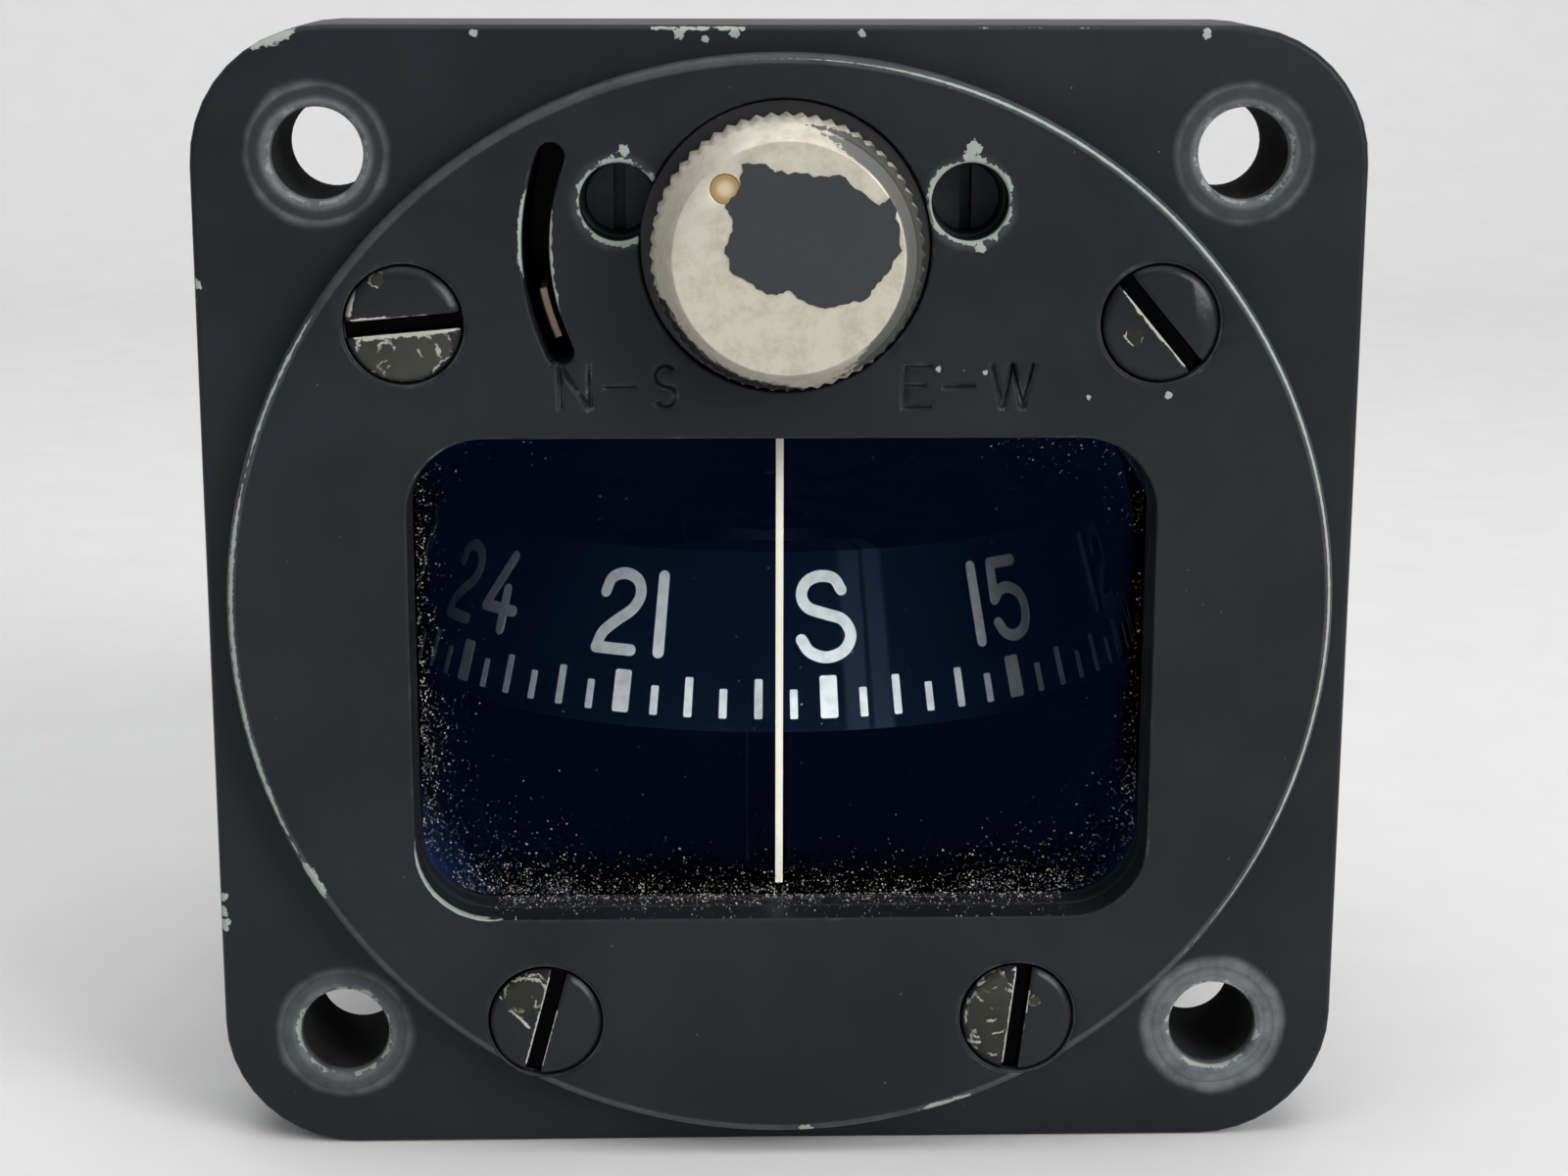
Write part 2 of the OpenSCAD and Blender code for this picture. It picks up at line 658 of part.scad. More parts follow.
// Pivot: a stem on the bowl's floor carries the jewel, and the card stands on it by a ball point
module pivot_stem() color("#b7b7b2") {
    rod_z(stem_r, stem_boss_top - stem_socket + end_gap, holder_bottom, 0, pivot_y);
    rod_z(stem_foot_r, stem_boss_top, stem_boss_top + stem_foot_t, 0, pivot_y);
}
module jewel_holder() color("#b59a5a") difference() {
    rod_z(holder_r, holder_bottom, pivot_z + cup_rise, 0, pivot_y);
    rod_z(cup_r + run_gap / 2, pivot_z - cup_depth, pivot_z + cup_rise + over, 0, pivot_y);
}
module jewel_cup() color("#7b2240") difference() {
    rod_z(cup_r, pivot_z - cup_depth, pivot_z + cup_rise, 0, pivot_y);
    translate([0, pivot_y, pivot_z]) {
        sphere(pivot_ball_r + cup_gap);
        cylinder(r1 = pivot_ball_r + run_gap, r2 = pivot_ball_r + cup_flare, h = cup_rise + run_gap);
    }
}
module pivot_ball() color("#d8d8d8") translate([0, pivot_y, pivot_z]) sphere(pivot_ball_r);
module pivot_pin() color("#9a9a98") difference() {
    union() {
        translate([0, pivot_y, pivot_z + pin_tip_lift]) cylinder(r1 = pin_tip_r, r2 = pin_r, h = pin_tip_h);
        rod_z(pin_r, pivot_z + pin_tip_lift + pin_tip_h - run_gap, hub_top - pin_sink, 0, pivot_y);
        rod_z(pin_collar_r, hub_bottom - end_gap - pin_collar_t, hub_bottom - end_gap, 0, pivot_y);
    }
    translate([0, pivot_y, pivot_z]) sphere(pivot_ball_r + socket_gap);
}

// The card's skirt leans in towards its top, where a narrow shelf sits on the spider's ring
module compass_card() color("#11141c") turned_z() polygon([
    [card_r, card_bottom], [card_top_r, card_top], [shelf_r, card_top],
    [shelf_r, spider_top], [card_top_r - card_t, spider_top], [card_r - card_t, card_bottom]]);
module card_spider() color("#8c8f94") difference() {
    union() {
        rod_z(hub_r, hub_bottom, hub_top, 0, pivot_y);
        difference() {
            rod_z(shelf_r + spider_ring_w, spider_bottom, spider_top, 0, pivot_y);
            rod_z(shelf_r, spider_bottom - over, spider_top + over, 0, pivot_y);
        }
        for (a = [45 : 90 : 315]) translate([0, pivot_y, spider_bottom]) rotate(a)
            translate([spider_arm_root, -spider_arm_w / 2, 0]) cube([shelf_r, spider_arm_w, spider_t]);
    }
    rod_z(pin_r + run_gap, hub_bottom - over, hub_top + over, 0, pivot_y);
}
module magnet_bell() color("#9fa3a8") turned_z() polygon([
    [hub_r, bell_top], [bell_r, bell_top], [bell_r, ring_bottom], [bell_r + bell_lip, ring_bottom],
    [bell_r + bell_lip, ring_bottom - bell_wall], [bell_r - bell_wall, ring_bottom - bell_wall],
    [bell_r - bell_wall, bell_top - bell_wall], [hub_r, bell_top - bell_wall]]);
module ring_magnet() color("#4a4a4c") difference() {
    rod_z(magnet_ring_r, ring_bottom, ring_bottom + ring_t, 0, pivot_y);
    rod_z(bell_r + run_gap, ring_bottom - over, ring_bottom + ring_t + over, 0, pivot_y);
}

// A clear block that takes lamp light down through the deck onto the card
module light_guide() color([0.9, 0.9, 0.85, 0.5]) block([lamp_x - guide_w / 2, guide_slot[0], deck_under],
    [lamp_x + guide_w / 2, guide_slot[1], base_top + guide_rise]);

// A plan of the room under the cover: straight at the front, with two round corners at the back
module cover_plan(half, front, back, r) polygon(concat([[half, front]],
    arc(half - r, back - r, r, 0, 90, 8), arc(r - half, back - r, r, 90, 180, 8), [[-half, front]]));
module room_plan(front) cover_plan(cover_in_x - fit_gap, front, cover_in_y - fit_gap, cover_corner_r);

// Corrector frame: a plate behind the flange with two screw lugs, and a base on the bowl's deck
module corrector_frame() color("#a9812f") difference() {
    front = flange_depth - over;
    back = plate_back + over;
    lug_x = upper_screw_x + boss_r;
    lug_back = flange_depth + screw_bite + lug_tail;
    union() {
        block([-cover_x, flange_depth, deck_z], [cover_x, plate_back, cover_top]);
        block([-lug_x, flange_depth, deck_z], [lug_x, plate_back, upper_screw_z + boss_r]);
        difference() {
            rods_y(upper_screws, boss_r, flange_depth, lug_back);
            block([-cover_x - fit_gap, plate_back, deck_z - over],
                [cover_x + fit_gap, lug_back + over, cover_top]);
        }
        plate_z(deck_z, base_top) room_plan(flange_depth + front_plate_t / 2);
    }
    rod_y(sleeve_r + run_gap, front, back, lamp_x, lamp_z);
    rods_y(keys, spindle_r + run_gap, front, back);
    rods_y(upper_screws, screw_r + fit_gap / 2, front, lug_back + over);
    plate_y(front, back)
        lamp_arc(strip_t + 2 * strip_gap, strip_ends[0] - strip_slack, strip_ends[1] + strip_slack);
    guide_hole(deck_z - over, base_top + over);
    rods_z(post_places, post_r + run_gap / 2, deck_z - over, base_top + over);
}
module bridge_pillars() color("#b59a5a") difference() {
    rods_z(pillars, pillar_r, base_top, bridge_bottom);
    rods_z(pillars, pillar_hole_r, bridge_bottom - pillar_bite - end_gap, bridge_bottom + over);
}
module corrector_bridge() color("#b08a3a") difference() {
    plate_z(bridge_bottom, bridge_top) room_plan(plate_back + fit_gap);
    rods_z(post_places, post_r + run_gap / 2, bridge_bottom - over, bridge_top + over);
    rods_z(pillars, pillar_hole_r, bridge_bottom - over, bridge_top + over);
    rod_z(bridge_window_r, bridge_bottom - over, bridge_top + over, bridge_window_x, bridge_window_y);
}
module bridge_screws() color("#8f9195") for (p = pillars) translate([p[0], p[1], bridge_top])
    small_screw(pillar_screw_r, bridge_t + pillar_bite, pillar_r, bridge_head_t);
module corrector_posts() color("#c3c4c6") rods_z(post_places, post_r, deck_z, bridge_top);
module post_spacers() color("#b59a5a") difference() {
    rods_z(post_places, spacer_r, lower_face + end_gap, upper_face - end_gap);
    rods_z(post_places, post_r + run_gap / 2, lower_face, upper_face);
}

// A key spindle with a driver slot in front, a collar behind the frame and a seat for its pinion
module key_spindle(x) color("#a9812f") translate([x, 0, key_z]) difference() {
    collar = plate_back + end_gap;
    union() {
        rod_y(spindle_r, spindle_front, collar);
        rod_y(spindle_collar_r, collar, collar + spindle_collar_t);
        rod_y(spindle_end_r, plate_back + over, pinion_back + spindle_tail);
    }
    block([-spindle_slot_w / 2, spindle_front - over, -2 * spindle_r],
        [spindle_slot_w / 2, spindle_front + spindle_slot_depth, 2 * spindle_r]);
}
// A spur pinion of plain trapezoid teeth, with a tooth straight up and straight down at rest
module pinion_outline() difference() {
    root_r = pinion_r - tooth_down;
    union() {
        circle(root_r);
        for (i = [0 : pinion_teeth - 1]) rotate(90 + 360 * i / pinion_teeth) polygon([
            [root_r - tooth_sink, -tooth_root_w / 2], [pinion_r + tooth_up, -tooth_tip_w / 2],
            [pinion_r + tooth_up, tooth_tip_w / 2], [root_r - tooth_sink, tooth_root_w / 2]]);
    }
    circle(spindle_end_r + run_gap / 2);
}
module key_pinion(x) color("#c8a24a") translate([x, 0, key_z]) plate_y(pinion_front, pinion_back)
    pinion_outline();
// A crown wheel with its pitch plane at zero and its teeth upwards; a gap faces the pinion at rest
module crown_wheel(hub_l) difference() {
    root = -tooth_down - tooth_sink;
    union() {
        rod_z(wheel_out_r, -tooth_down - wheel_t, -tooth_down);
        rod_z(wheel_hub_r, -tooth_down - hub_l, -tooth_down);
        for (i = [0 : wheel_teeth - 1]) rotate(-90 + 360 * (i + 0.5) / wheel_teeth)
            translate([wheel_in_r, 0, 0]) rotate([90, 0, 90]) linear_extrude(tooth_face - rim_margin)
                polygon([[-tooth_root_w / 2, root], [tooth_root_w / 2, root],
                    [tooth_tip_w / 2, tooth_up], [-tooth_tip_w / 2, tooth_up]]);
    }
    rod_z(post_r + run_gap, -tooth_down - hub_l - over, over);
}
module lower_wheel(x) color("#c8a24a") translate([x, post_y, key_z - pinion_r])
    crown_wheel(lower_face - base_top - end_gap);
module upper_wheel(x) color("#c8a24a") translate([x, post_y, key_z + pinion_r]) mirror([0, 0, 1])
    crown_wheel(bridge_bottom - end_gap - upper_face);
module bar_magnet(x, bottom, turn) color("#55565a") translate([x, post_y, 0]) rotate(turn) difference() {
    block([-bar_l / 2, -bar_w / 2, bottom], [bar_l / 2, bar_w / 2, bottom + bar_t]);
    rod_z(wheel_hub_r + run_gap / 2, bottom - over, bottom + bar_t + over);
}
module ns_spindle() key_spindle(ns_key_x);
module ns_pinion() key_pinion(ns_key_x);
module ns_upper_wheel() upper_wheel(ns_key_x);
module ns_upper_magnet() bar_magnet(ns_key_x, upper_bar, 0);
module ns_lower_wheel() lower_wheel(ns_key_x);
module ns_lower_magnet() bar_magnet(ns_key_x, lower_bar, 180);
module ew_spindle() key_spindle(ew_key_x);
module ew_pinion() key_pinion(ew_key_x);
module ew_upper_wheel() upper_wheel(ew_key_x);
module ew_upper_magnet() bar_magnet(ew_key_x, upper_bar, 90);
module ew_lower_wheel() lower_wheel(ew_key_x);
module ew_lower_magnet() bar_magnet(ew_key_x, lower_bar, 270);

// Sheet cover over the correctors, with a screwed tab each side on the deck
module corrector_cover() color("#202224") difference() {
    union() {
        plate_z(deck_z, cover_top) cover_plan(cover_x, plate_back, cover_y, cover_corner_r + cover_t);
        for (side = [0, 1]) mirror([side, 0, 0]) block([cover_in_x, tab_y - tab_w / 2, deck_z],
            [cover_x + tab_x, tab_y + tab_w / 2, deck_z + cover_t]);
    }
    plate_z(deck_z - over, cover_top - cover_t)
        cover_plan(cover_in_x, plate_back - over, cover_in_y, cover_corner_r);
    rods_z(cover_screws_at, cover_screw_r + fit_gap / 2, deck_z - over, deck_z + over);
    block([lamp_x - strip_w / 2 - strip_gap, cover_in_y - over, lamp_z - strip_t / 2 - strip_gap],
        [lamp_x + strip_w / 2 + strip_gap, cover_y + over, lamp_z + strip_t / 2 + strip_gap]);
}
module cover_screws() color("#8f9195") for (p = cover_screws_at) translate([p[0], p[1], deck_z + cover_t])
    small_screw(cover_screw_r, cover_screw_bite, tab_x / 2 - fit_gap, cover_head_t);

// Lamp: a sleeve with a front collar, and a knurled cap that draws the bulb out on its carrier
module lamp_sleeve() color("#3a3b3d") difference() {
    turned_y(lamp_x, lamp_z) polygon([[sleeve_in_r, collar_front], [collar_r, collar_front], [collar_r, 0],
        [sleeve_r, 0], [sleeve_r, sleeve_reach], [sleeve_in_r, sleeve_reach]]);
    block([lamp_x - guide_w / 2, guide_slot[0], lamp_z - 2 * sleeve_r],
        [lamp_x + guide_w / 2, guide_slot[1], lamp_z - sleeve_r / 2]);
}
module lamp_insulator() color("#5a2d1c") difference() {
    rod_y(sleeve_in_r - run_gap / 2, sleeve_reach - insulator_t, sleeve_reach, lamp_x, lamp_z);
    rod_y(plunger_r + run_gap / 2, sleeve_reach - insulator_t - over, sleeve_reach + over, lamp_x, lamp_z);
}
module contact_plunger() color("#c8a24a") rod_y(plunger_r, bulb_tip + end_gap, plunger_back, lamp_x, lamp_z);
module knurl_outline() polygon([for (i = [0 : 2 * knurls - 1])
    (i % 2 == 0 ? cap_r : cap_r - knurl_depth) * [cos(180 * i / knurls), sin(180 * i / knurls)]]);
// The cap is a bevelled blank, a little wider than its knurls, with the knurls cut through it
module lamp_cap() color("#cfc8b8") translate([lamp_x, 0, lamp_z]) difference() {
    blank_r = cap_r + knurl_depth;
    bevel_back = cap_bevel * (blank_r - cap_face_r) / (cap_r - cap_face_r) - cap_reach;
    union() {
        intersection() {
            plate_y(-cap_reach, cap_back) knurl_outline();
            turned_y(0, 0) polygon([[0, -cap_reach], [cap_face_r, -cap_reach], [blank_r, bevel_back],
                [blank_r, cap_back - cap_back_bevel - knurl_depth], [cap_r - cap_back_bevel, cap_back],
                [0, cap_back]]);
        }
        rod_y(shank_r, cap_back - over, shank_back);
    }
    rod_y(cap_pin_r + run_gap / 2, -cap_reach - over, cap_pin_l - cap_reach, cap_pin_at[0], cap_pin_at[1]);
    rod_y(swivel_r + run_gap, shank_back - swivel_l, shank_back + over);
}
module cap_pin() color("#c9a766") translate([lamp_x, 0, lamp_z])
    rod_y(cap_pin_r, -cap_reach, cap_pin_l - cap_reach, cap_pin_at[0], cap_pin_at[1]);
module lamp_carrier() color("#b59a5a") translate([lamp_x, 0, lamp_z]) difference() {
    floor_back = carrier_front + carrier_floor;
    union() {
        rod_y(shank_r - run_gap, carrier_front, base_back - end_gap);
        rod_y(swivel_r, shank_back - swivel_l + end_gap, floor_back);
    }
    rod_y(shank_r - carrier_wall, floor_back, base_front + carrier_lap);
    rod_y(base_r + run_gap, floor_back, base_back + over);
    block([-guide_w / 2, floor_back + over, -2 * sleeve_r],
        [guide_w / 2, base_front + carrier_lap, -sleeve_r / 4]);
}
module bulb_base() color("#c8a24a") translate([lamp_x, 0, lamp_z]) {
    rod_y(base_r, base_front, base_back);
    rod_y(tip_r, base_back - tip_h, bulb_tip);
}
module bulb_glass() color([0.95, 0.93, 0.85, 0.45]) turned_y(lamp_x, lamp_z) polygon(concat(
    arc(0, bulb_front + bulb_r, bulb_r, -90, 0, 12), [[bulb_r, base_front], [0, base_front]]));

// Copper strips: the earth strip comes forward into the arc slot, the live strip runs to the terminals
module earth_strip() color("#b5653a") translate([lamp_x, 0, lamp_z]) {
    mid = (strip_ends[0] + strip_ends[1]) / 2;
    plate_y(strip_front, strip_back) polygon(band(arc_slot_r, strip_t, strip_ends[0], strip_ends[1]));
    rotate([0, -mid, 0]) block([sleeve_r + run_gap, strip_back - strip_t, -strip_w / 2],
        [arc_slot_r, strip_back, strip_w / 2]);
}
module live_strip() color("#b5653a") block([lamp_x - strip_w / 2, plunger_back, lamp_z - strip_t / 2],
    [lamp_x + strip_w / 2, block_front + over, lamp_z + strip_t / 2]);
module terminal_block() color("#2a1a14") difference() {
    block([-block_w / 2, block_front, deck_z], [block_w / 2, block_back, block_top]);
    block([lamp_x - (strip_w + fit_gap) / 2, block_front - over, lamp_z - (strip_t + fit_gap) / 2],
        [lamp_x + (strip_w + fit_gap) / 2, block_front + over + fit_gap, lamp_z + (strip_t + fit_gap) / 2]);
    block([-block_slot_w / 2, block_front + block_slot_depth, block_top - block_slot_depth],
        [block_slot_w / 2, block_back + over, block_top + over]);
    for (x = [-terminal_x, terminal_x]) {
        rod_z(terminal_r + run_gap, block_top - terminal_bore, block_top + over, x, terminal_y);
        rod_y(wire_r, block_back - terminal_bore, block_back + over, x, block_top - wire_drop);
    }
}
module terminal_screws() color("#c8a24a") for (x = [-terminal_x, terminal_x])
    translate([x, terminal_y, block_top])
        small_screw(terminal_r, terminal_bite, terminal_head_r, terminal_head_t, terminal_slot_w);

// Bellows: thin folded metal that lets the fluid swell, under a vented cover
function fold_line(inset) = [for (i = [0 : 2 * bellows_folds])
    [bellows_r - inset - (i % 2 == 0 ? bellows_fold : 0), neck_back + bellows_foot_t + i * fold_pitch / 2]];
function reversed(points) = [for (i = [len(points) - 1 : -1 : 0]) points[i]];
module bellows() color("#c9b27a") turned_y(0, pivot_z) polygon(concat(
    [[bellows_r + bellows_foot_w, neck_back], [bellows_r + bellows_foot_w, neck_back + bellows_foot_t]],
    fold_line(0), reversed(fold_line(bellows_wall)),
    [[bellows_r - bellows_fold - bellows_wall, neck_back]]));
module bellows_plate() color("#c9b27a")
    rod_y(bellows_r - plate_inset, bellows_back, bellows_back + plate_t, 0, pivot_z);
module bellows_cover() color("#202224") difference() {
    inner_r = bellows_cover_r - bellows_cover_t;
    inner_back = bellows_cover_back - bellows_cover_t;
    turned_y(0, pivot_z) polygon([[inner_r, neck_back], [neck_r, neck_back], [neck_r, bellows_seat],
        [bellows_cover_r, bellows_seat], [bellows_cover_r, bellows_cover_back - bellows_cover_bevel],
        [bellows_cover_r - bellows_cover_bevel, bellows_cover_back],
        [bellows_cover_vent_r, bellows_cover_back], [bellows_cover_vent_r, inner_back],
        [inner_r, inner_back]]);
    rods_y(bellows_screws_at, bellows_hole_r, neck_back - over, bellows_seat + over);
}
module bellows_screws() color("#8f9195") for (p = bellows_screws_at)
    translate([p[0], bellows_seat, p[1]]) rotate([-90, 0, 0])
        small_screw(bellows_screw_r, bellows_flange_t + bellows_screw_bite, bellows_head_r, bellows_head_t);

mounting_flange();
bezel_plate();
bezel_screws();
window_seal();
window_pane();
lubber_line();
bowl();
bowl_seal();
filler_plug();
filler_washer();
pivot_stem();
jewel_holder();
jewel_cup();
pivot_ball();
pivot_pin();
card_spider();
compass_card();
magnet_bell();
ring_magnet();
light_guide();
corrector_frame();
bridge_pillars();
corrector_bridge();
bridge_screws();
corrector_posts();
post_spacers();
ns_spindle();
ns_pinion();
ns_upper_wheel();
ns_upper_magnet();
ns_lower_wheel();
ns_lower_magnet();
ew_spindle();
ew_pinion();
ew_upper_wheel();
ew_upper_magnet();
ew_lower_wheel();
ew_lower_magnet();
corrector_cover();
cover_screws();
lamp_sleeve();
lamp_insulator();
contact_plunger();
lamp_cap();
cap_pin();
lamp_carrier();
bulb_base();
bulb_glass();
earth_strip();
live_strip();
terminal_block();
terminal_screws();
bellows();
bellows_plate();
bellows_cover();
bellows_screws();
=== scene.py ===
import math
import random

import bpy
from mathutils import Matrix, Vector
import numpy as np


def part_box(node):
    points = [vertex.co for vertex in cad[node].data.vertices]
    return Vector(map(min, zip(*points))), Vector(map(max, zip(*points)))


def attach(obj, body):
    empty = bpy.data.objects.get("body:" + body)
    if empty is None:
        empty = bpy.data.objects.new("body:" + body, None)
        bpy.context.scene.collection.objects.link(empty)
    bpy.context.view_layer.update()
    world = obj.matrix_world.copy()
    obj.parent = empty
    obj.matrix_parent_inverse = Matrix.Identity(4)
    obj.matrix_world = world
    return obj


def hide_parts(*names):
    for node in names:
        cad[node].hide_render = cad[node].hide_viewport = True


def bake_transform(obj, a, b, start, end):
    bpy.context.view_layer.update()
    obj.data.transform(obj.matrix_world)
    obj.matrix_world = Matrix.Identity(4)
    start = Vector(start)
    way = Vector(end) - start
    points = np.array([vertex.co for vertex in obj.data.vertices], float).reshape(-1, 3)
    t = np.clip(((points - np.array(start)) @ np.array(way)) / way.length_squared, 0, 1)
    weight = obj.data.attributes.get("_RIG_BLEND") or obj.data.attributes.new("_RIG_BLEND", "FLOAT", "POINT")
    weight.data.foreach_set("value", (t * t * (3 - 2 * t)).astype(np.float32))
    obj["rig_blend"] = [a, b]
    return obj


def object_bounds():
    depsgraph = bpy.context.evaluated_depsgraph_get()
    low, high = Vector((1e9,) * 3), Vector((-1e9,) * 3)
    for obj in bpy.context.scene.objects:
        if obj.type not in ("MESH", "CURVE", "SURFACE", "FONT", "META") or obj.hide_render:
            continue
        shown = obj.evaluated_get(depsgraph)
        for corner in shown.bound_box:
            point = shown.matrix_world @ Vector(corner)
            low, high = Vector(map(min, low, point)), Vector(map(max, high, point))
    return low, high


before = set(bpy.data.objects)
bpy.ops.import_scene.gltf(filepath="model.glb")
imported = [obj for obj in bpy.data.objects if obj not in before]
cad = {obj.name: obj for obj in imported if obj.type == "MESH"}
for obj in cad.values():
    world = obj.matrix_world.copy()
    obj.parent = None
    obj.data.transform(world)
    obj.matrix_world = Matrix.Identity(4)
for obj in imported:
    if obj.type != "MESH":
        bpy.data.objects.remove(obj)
cad_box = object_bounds()
scene = bpy.context.scene

# Stage: a pale paper sheet that lies under the compass and sweeps up behind it, as on a table by a
# window. One soft lamp stands in front on the right, and the other hangs over the compass.
MM = 0.001
scene.view_settings.view_transform = "Standard"


def feed(tree, socket, value):
    """Links a socket to another node's output, or sets its own value."""
    if isinstance(value, bpy.types.NodeSocket):
        tree.links.new(value, socket)
    else:
        socket.default_value = value


def put(tree, kind, values=None, pick=0, **settings):
    """Adds a node with its settings and inputs, and returns one of its outputs, or several by a slice."""
    made = tree.nodes.new("ShaderNode" + kind)
    for name, value in settings.items():
        setattr(made, name, value)
    for name, value in (values or {}).items():
        feed(tree, made.inputs[name], value)
    return made.outputs[pick]


def mix(tree, share, first, second):
    """A colour between two, by a share from 0 to 1."""
    return put(tree, "Mix", {0: share, 6: first, 7: second}, pick=2, data_type="RGBA")


def spread(tree, value, low, high, start=0, end=1):
    """Maps low..high onto start..end smoothly, and holds the ends."""
    ranges = {"Value": value, "From Min": low, "From Max": high, "To Min": start, "To Max": end}
    return put(tree, "MapRange", ranges, interpolation_type="SMOOTHSTEP")


def noise(tree, place, scale, detail, roughness=0.5):
    """A value from 0 to 1 that wanders from place to place."""
    values = {"Vector": place, "Scale": scale, "Detail": detail, "Roughness": roughness}
    return put(tree, "TexNoise", values)


def material(name, **shader_values):
    """A new material, with its node tree, its shader's inputs and its place in millimetres."""
    made = bpy.data.materials.new(name)
    made.use_nodes = True
    tree = made.node_tree
    shader = tree.nodes["Principled BSDF"].inputs
    for socket, value in shader_values.items():
        feed(tree, shader[socket.replace("_", " ")], value)
    spot = put(tree, "TexCoord", pick="Object")
    place = put(tree, "VectorMath", {0: spot, "Scale": 1 / MM}, operation="SCALE")
    return made, tree, shader, place


def colour(red, green, blue):
    """A colour as a picture shows it, from 0 to 255, as the shader takes it."""
    shown = [value / 255 for value in (red, green, blue)]
    return [((c + 0.055) / 1.055) ** 2.4 if c > 0.04 else c / 12.92 for c in shown] + [1]


def solid(name, points, faces, made):
    """A new mesh object in the scene, from points in millimetres, with its material."""
    mesh = bpy.data.meshes.new(name)
    mesh.from_pydata([Vector(point) * MM for point in points], [], faces)
    mesh.update()
    mesh.materials.append(made)
    piece = bpy.data.objects.new(name, mesh)
    scene.collection.objects.link(piece)
    return piece


def dye(tree, shader, share, first, second):
    """Gives a shader a colour between two, by a share from 0 to 1."""
    feed(tree, shader["Base Color"], mix(tree, share, first, second))


floor_z = cad_box[0].z / MM
sheet_half_w = 1100
sheet_front = -900
sheet_bend = 340
sheet_r = 220
sheet_top = 750
bend_steps = 24
profile = [(sheet_front, floor_z)]
for step in range(bend_steps + 1):
    turn = math.pi / 2 * step / bend_steps
    profile.append((sheet_bend + sheet_r * math.sin(turn), floor_z + sheet_r * (1 - math.cos(turn))))
profile.append((sheet_bend + sheet_r, sheet_top))
sheet_points = [(x, y, z) for y, z in profile for x in (-sheet_half_w, sheet_half_w)]
sheet_faces = [(2 * i, 2 * i + 1, 2 * i + 3, 2 * i + 2) for i in range(len(profile) - 1)]
paper, tree, shader, place = material("paper", Roughness=0.9)
fibre = noise(tree, place, 0.15, 6)
dye(tree, shader, fibre, colour(227, 226, 223), colour(235, 234, 232))
sheet = solid("backdrop", sheet_points, sheet_faces, paper)
sheet.data.shade_smooth()

low_light = (0.3, 0.3, 0.31, 1)
high_light = (0.4, 0.42, 0.45, 1)
far_wall = (0.72, 0.72, 0.72, 1)
room = bpy.data.worlds.new("room")
room.use_nodes = True
tree = room.node_tree
aloft = put(tree, "SeparateXYZ", {0: put(tree, "TexCoord", pick="Generated")}, pick="Z")
around = mix(tree, spread(tree, aloft, -0.2, 0.9), low_light, high_light)
seen = put(tree, "LightPath", pick="Is Camera Ray")
feed(tree, tree.nodes["Background"].inputs["Color"], mix(tree, seen, around, far_wall))
scene.world = room
# Each lamp: where it is, its width, its power, and how far its beam opens in degrees.
lamps = {"window": ((0.9, -0.9, 0.5), 0.75, 2.6, 75), "ceiling": ((0, -0.06, 0.5), 0.5, 1.6, 180)}
for name, (spot, size, power, beam) in lamps.items():
    light = bpy.data.lights.new(name, "AREA")
    light.size = size
    light.energy = power
    light.spread = math.radians(beam)
    lamp = bpy.data.objects.new(name, light)
    lamp.location = spot
    lamp.rotation_euler = (-Vector(spot)).to_track_quat("-Z", "Y").to_euler()
    scene.collection.objects.link(lamp)

camera_at = Vector((-4.42, -150.82, 35.87)) * MM
camera_towards = Vector((0.02935, 0.97385, -0.22528))
camera_roll = math.radians(0.14)
camera = bpy.data.objects.new("camera", bpy.data.cameras.new("camera"))
camera.data.lens = 67.8
camera.data.sensor_width = 36
aim = camera_towards.to_track_quat("-Z", "Y").to_matrix() @ Matrix.Rotation(camera_roll, 3, "Z")
camera.matrix_world = Matrix.Translation(camera_at) @ aim.to_4x4()
scene.collection.objects.link(camera)
scene.camera = camera

# Mounting flange: a square light-alloy casting with four bolt holes, sprayed with a satin charcoal
# enamel. Bolt heads have scuffed grey rings round the holes, and the edges are chipped to the primer.
charcoal = colour(31, 34, 39)
dark_charcoal = colour(24, 26, 31)
primer = colour(156, 165, 156)
scuffed_grey = colour(118, 121, 124)
# The rubbed grey below is partly rubbed paint and partly a painted sheen for the enamel's edges.
rubbed_sheen_grey = colour(120, 123, 127)
# The near-black below is painted shade, for the walls of the bolt and key holes.
bore_shade_black = colour(4, 4, 5)


def calc(tree, operation, *values, clamp=False):
    """A math node on one to three numbers."""
    return put(tree, "Math", dict(enumerate(values)), operation=operation, use_clamp=clamp)


def times(tree, first, second):
    """The product of two numbers."""
    return calc(tree, "MULTIPLY", first, second)


def arrow(tree, operation, *values):
    """A vector node on one or two vectors. A length, distance or product comes out as a number."""
    pick = "Value" if operation in ("LENGTH", "DISTANCE", "DOT_PRODUCT") else "Vector"
    return put(tree, "VectorMath", dict(enumerate(values)), pick=pick, operation=operation)


def from_axis(tree, place, centre):
    """How a place lies from a centre, the same in the front's plane alone, and that one's length."""
    offset = arrow(tree, "SUBTRACT", place, centre)
    flat = arrow(tree, "MULTIPLY", offset, (1, 0, 1))
    return offset, flat, arrow(tree, "LENGTH", flat)


def rings(tree, away, pitch, detail):
    """A value that wanders with the distance from an axis, as turning leaves it."""
    values = {"W": times(tree, away, pitch), "Scale": 1, "Detail": detail}
    return put(tree, "TexNoise", values, noise_dimensions="1D")


def torn_band(tree, given, full, aside):
    """The mask of a band with torn edges, by how full its width is and the distance from its middle."""
    tatter = calc(tree, "SUBTRACT", noise(tree, given["Place"], 2.6, 4, 0.7), 0.5)
    torn = calc(tree, "MULTIPLY_ADD", tatter, given["Ragged"], full)
    reach = calc(tree, "MAXIMUM", times(tree, torn, given["Width"]), 0.001)
    return spread(tree, aside, reach, times(tree, reach, 0.7))


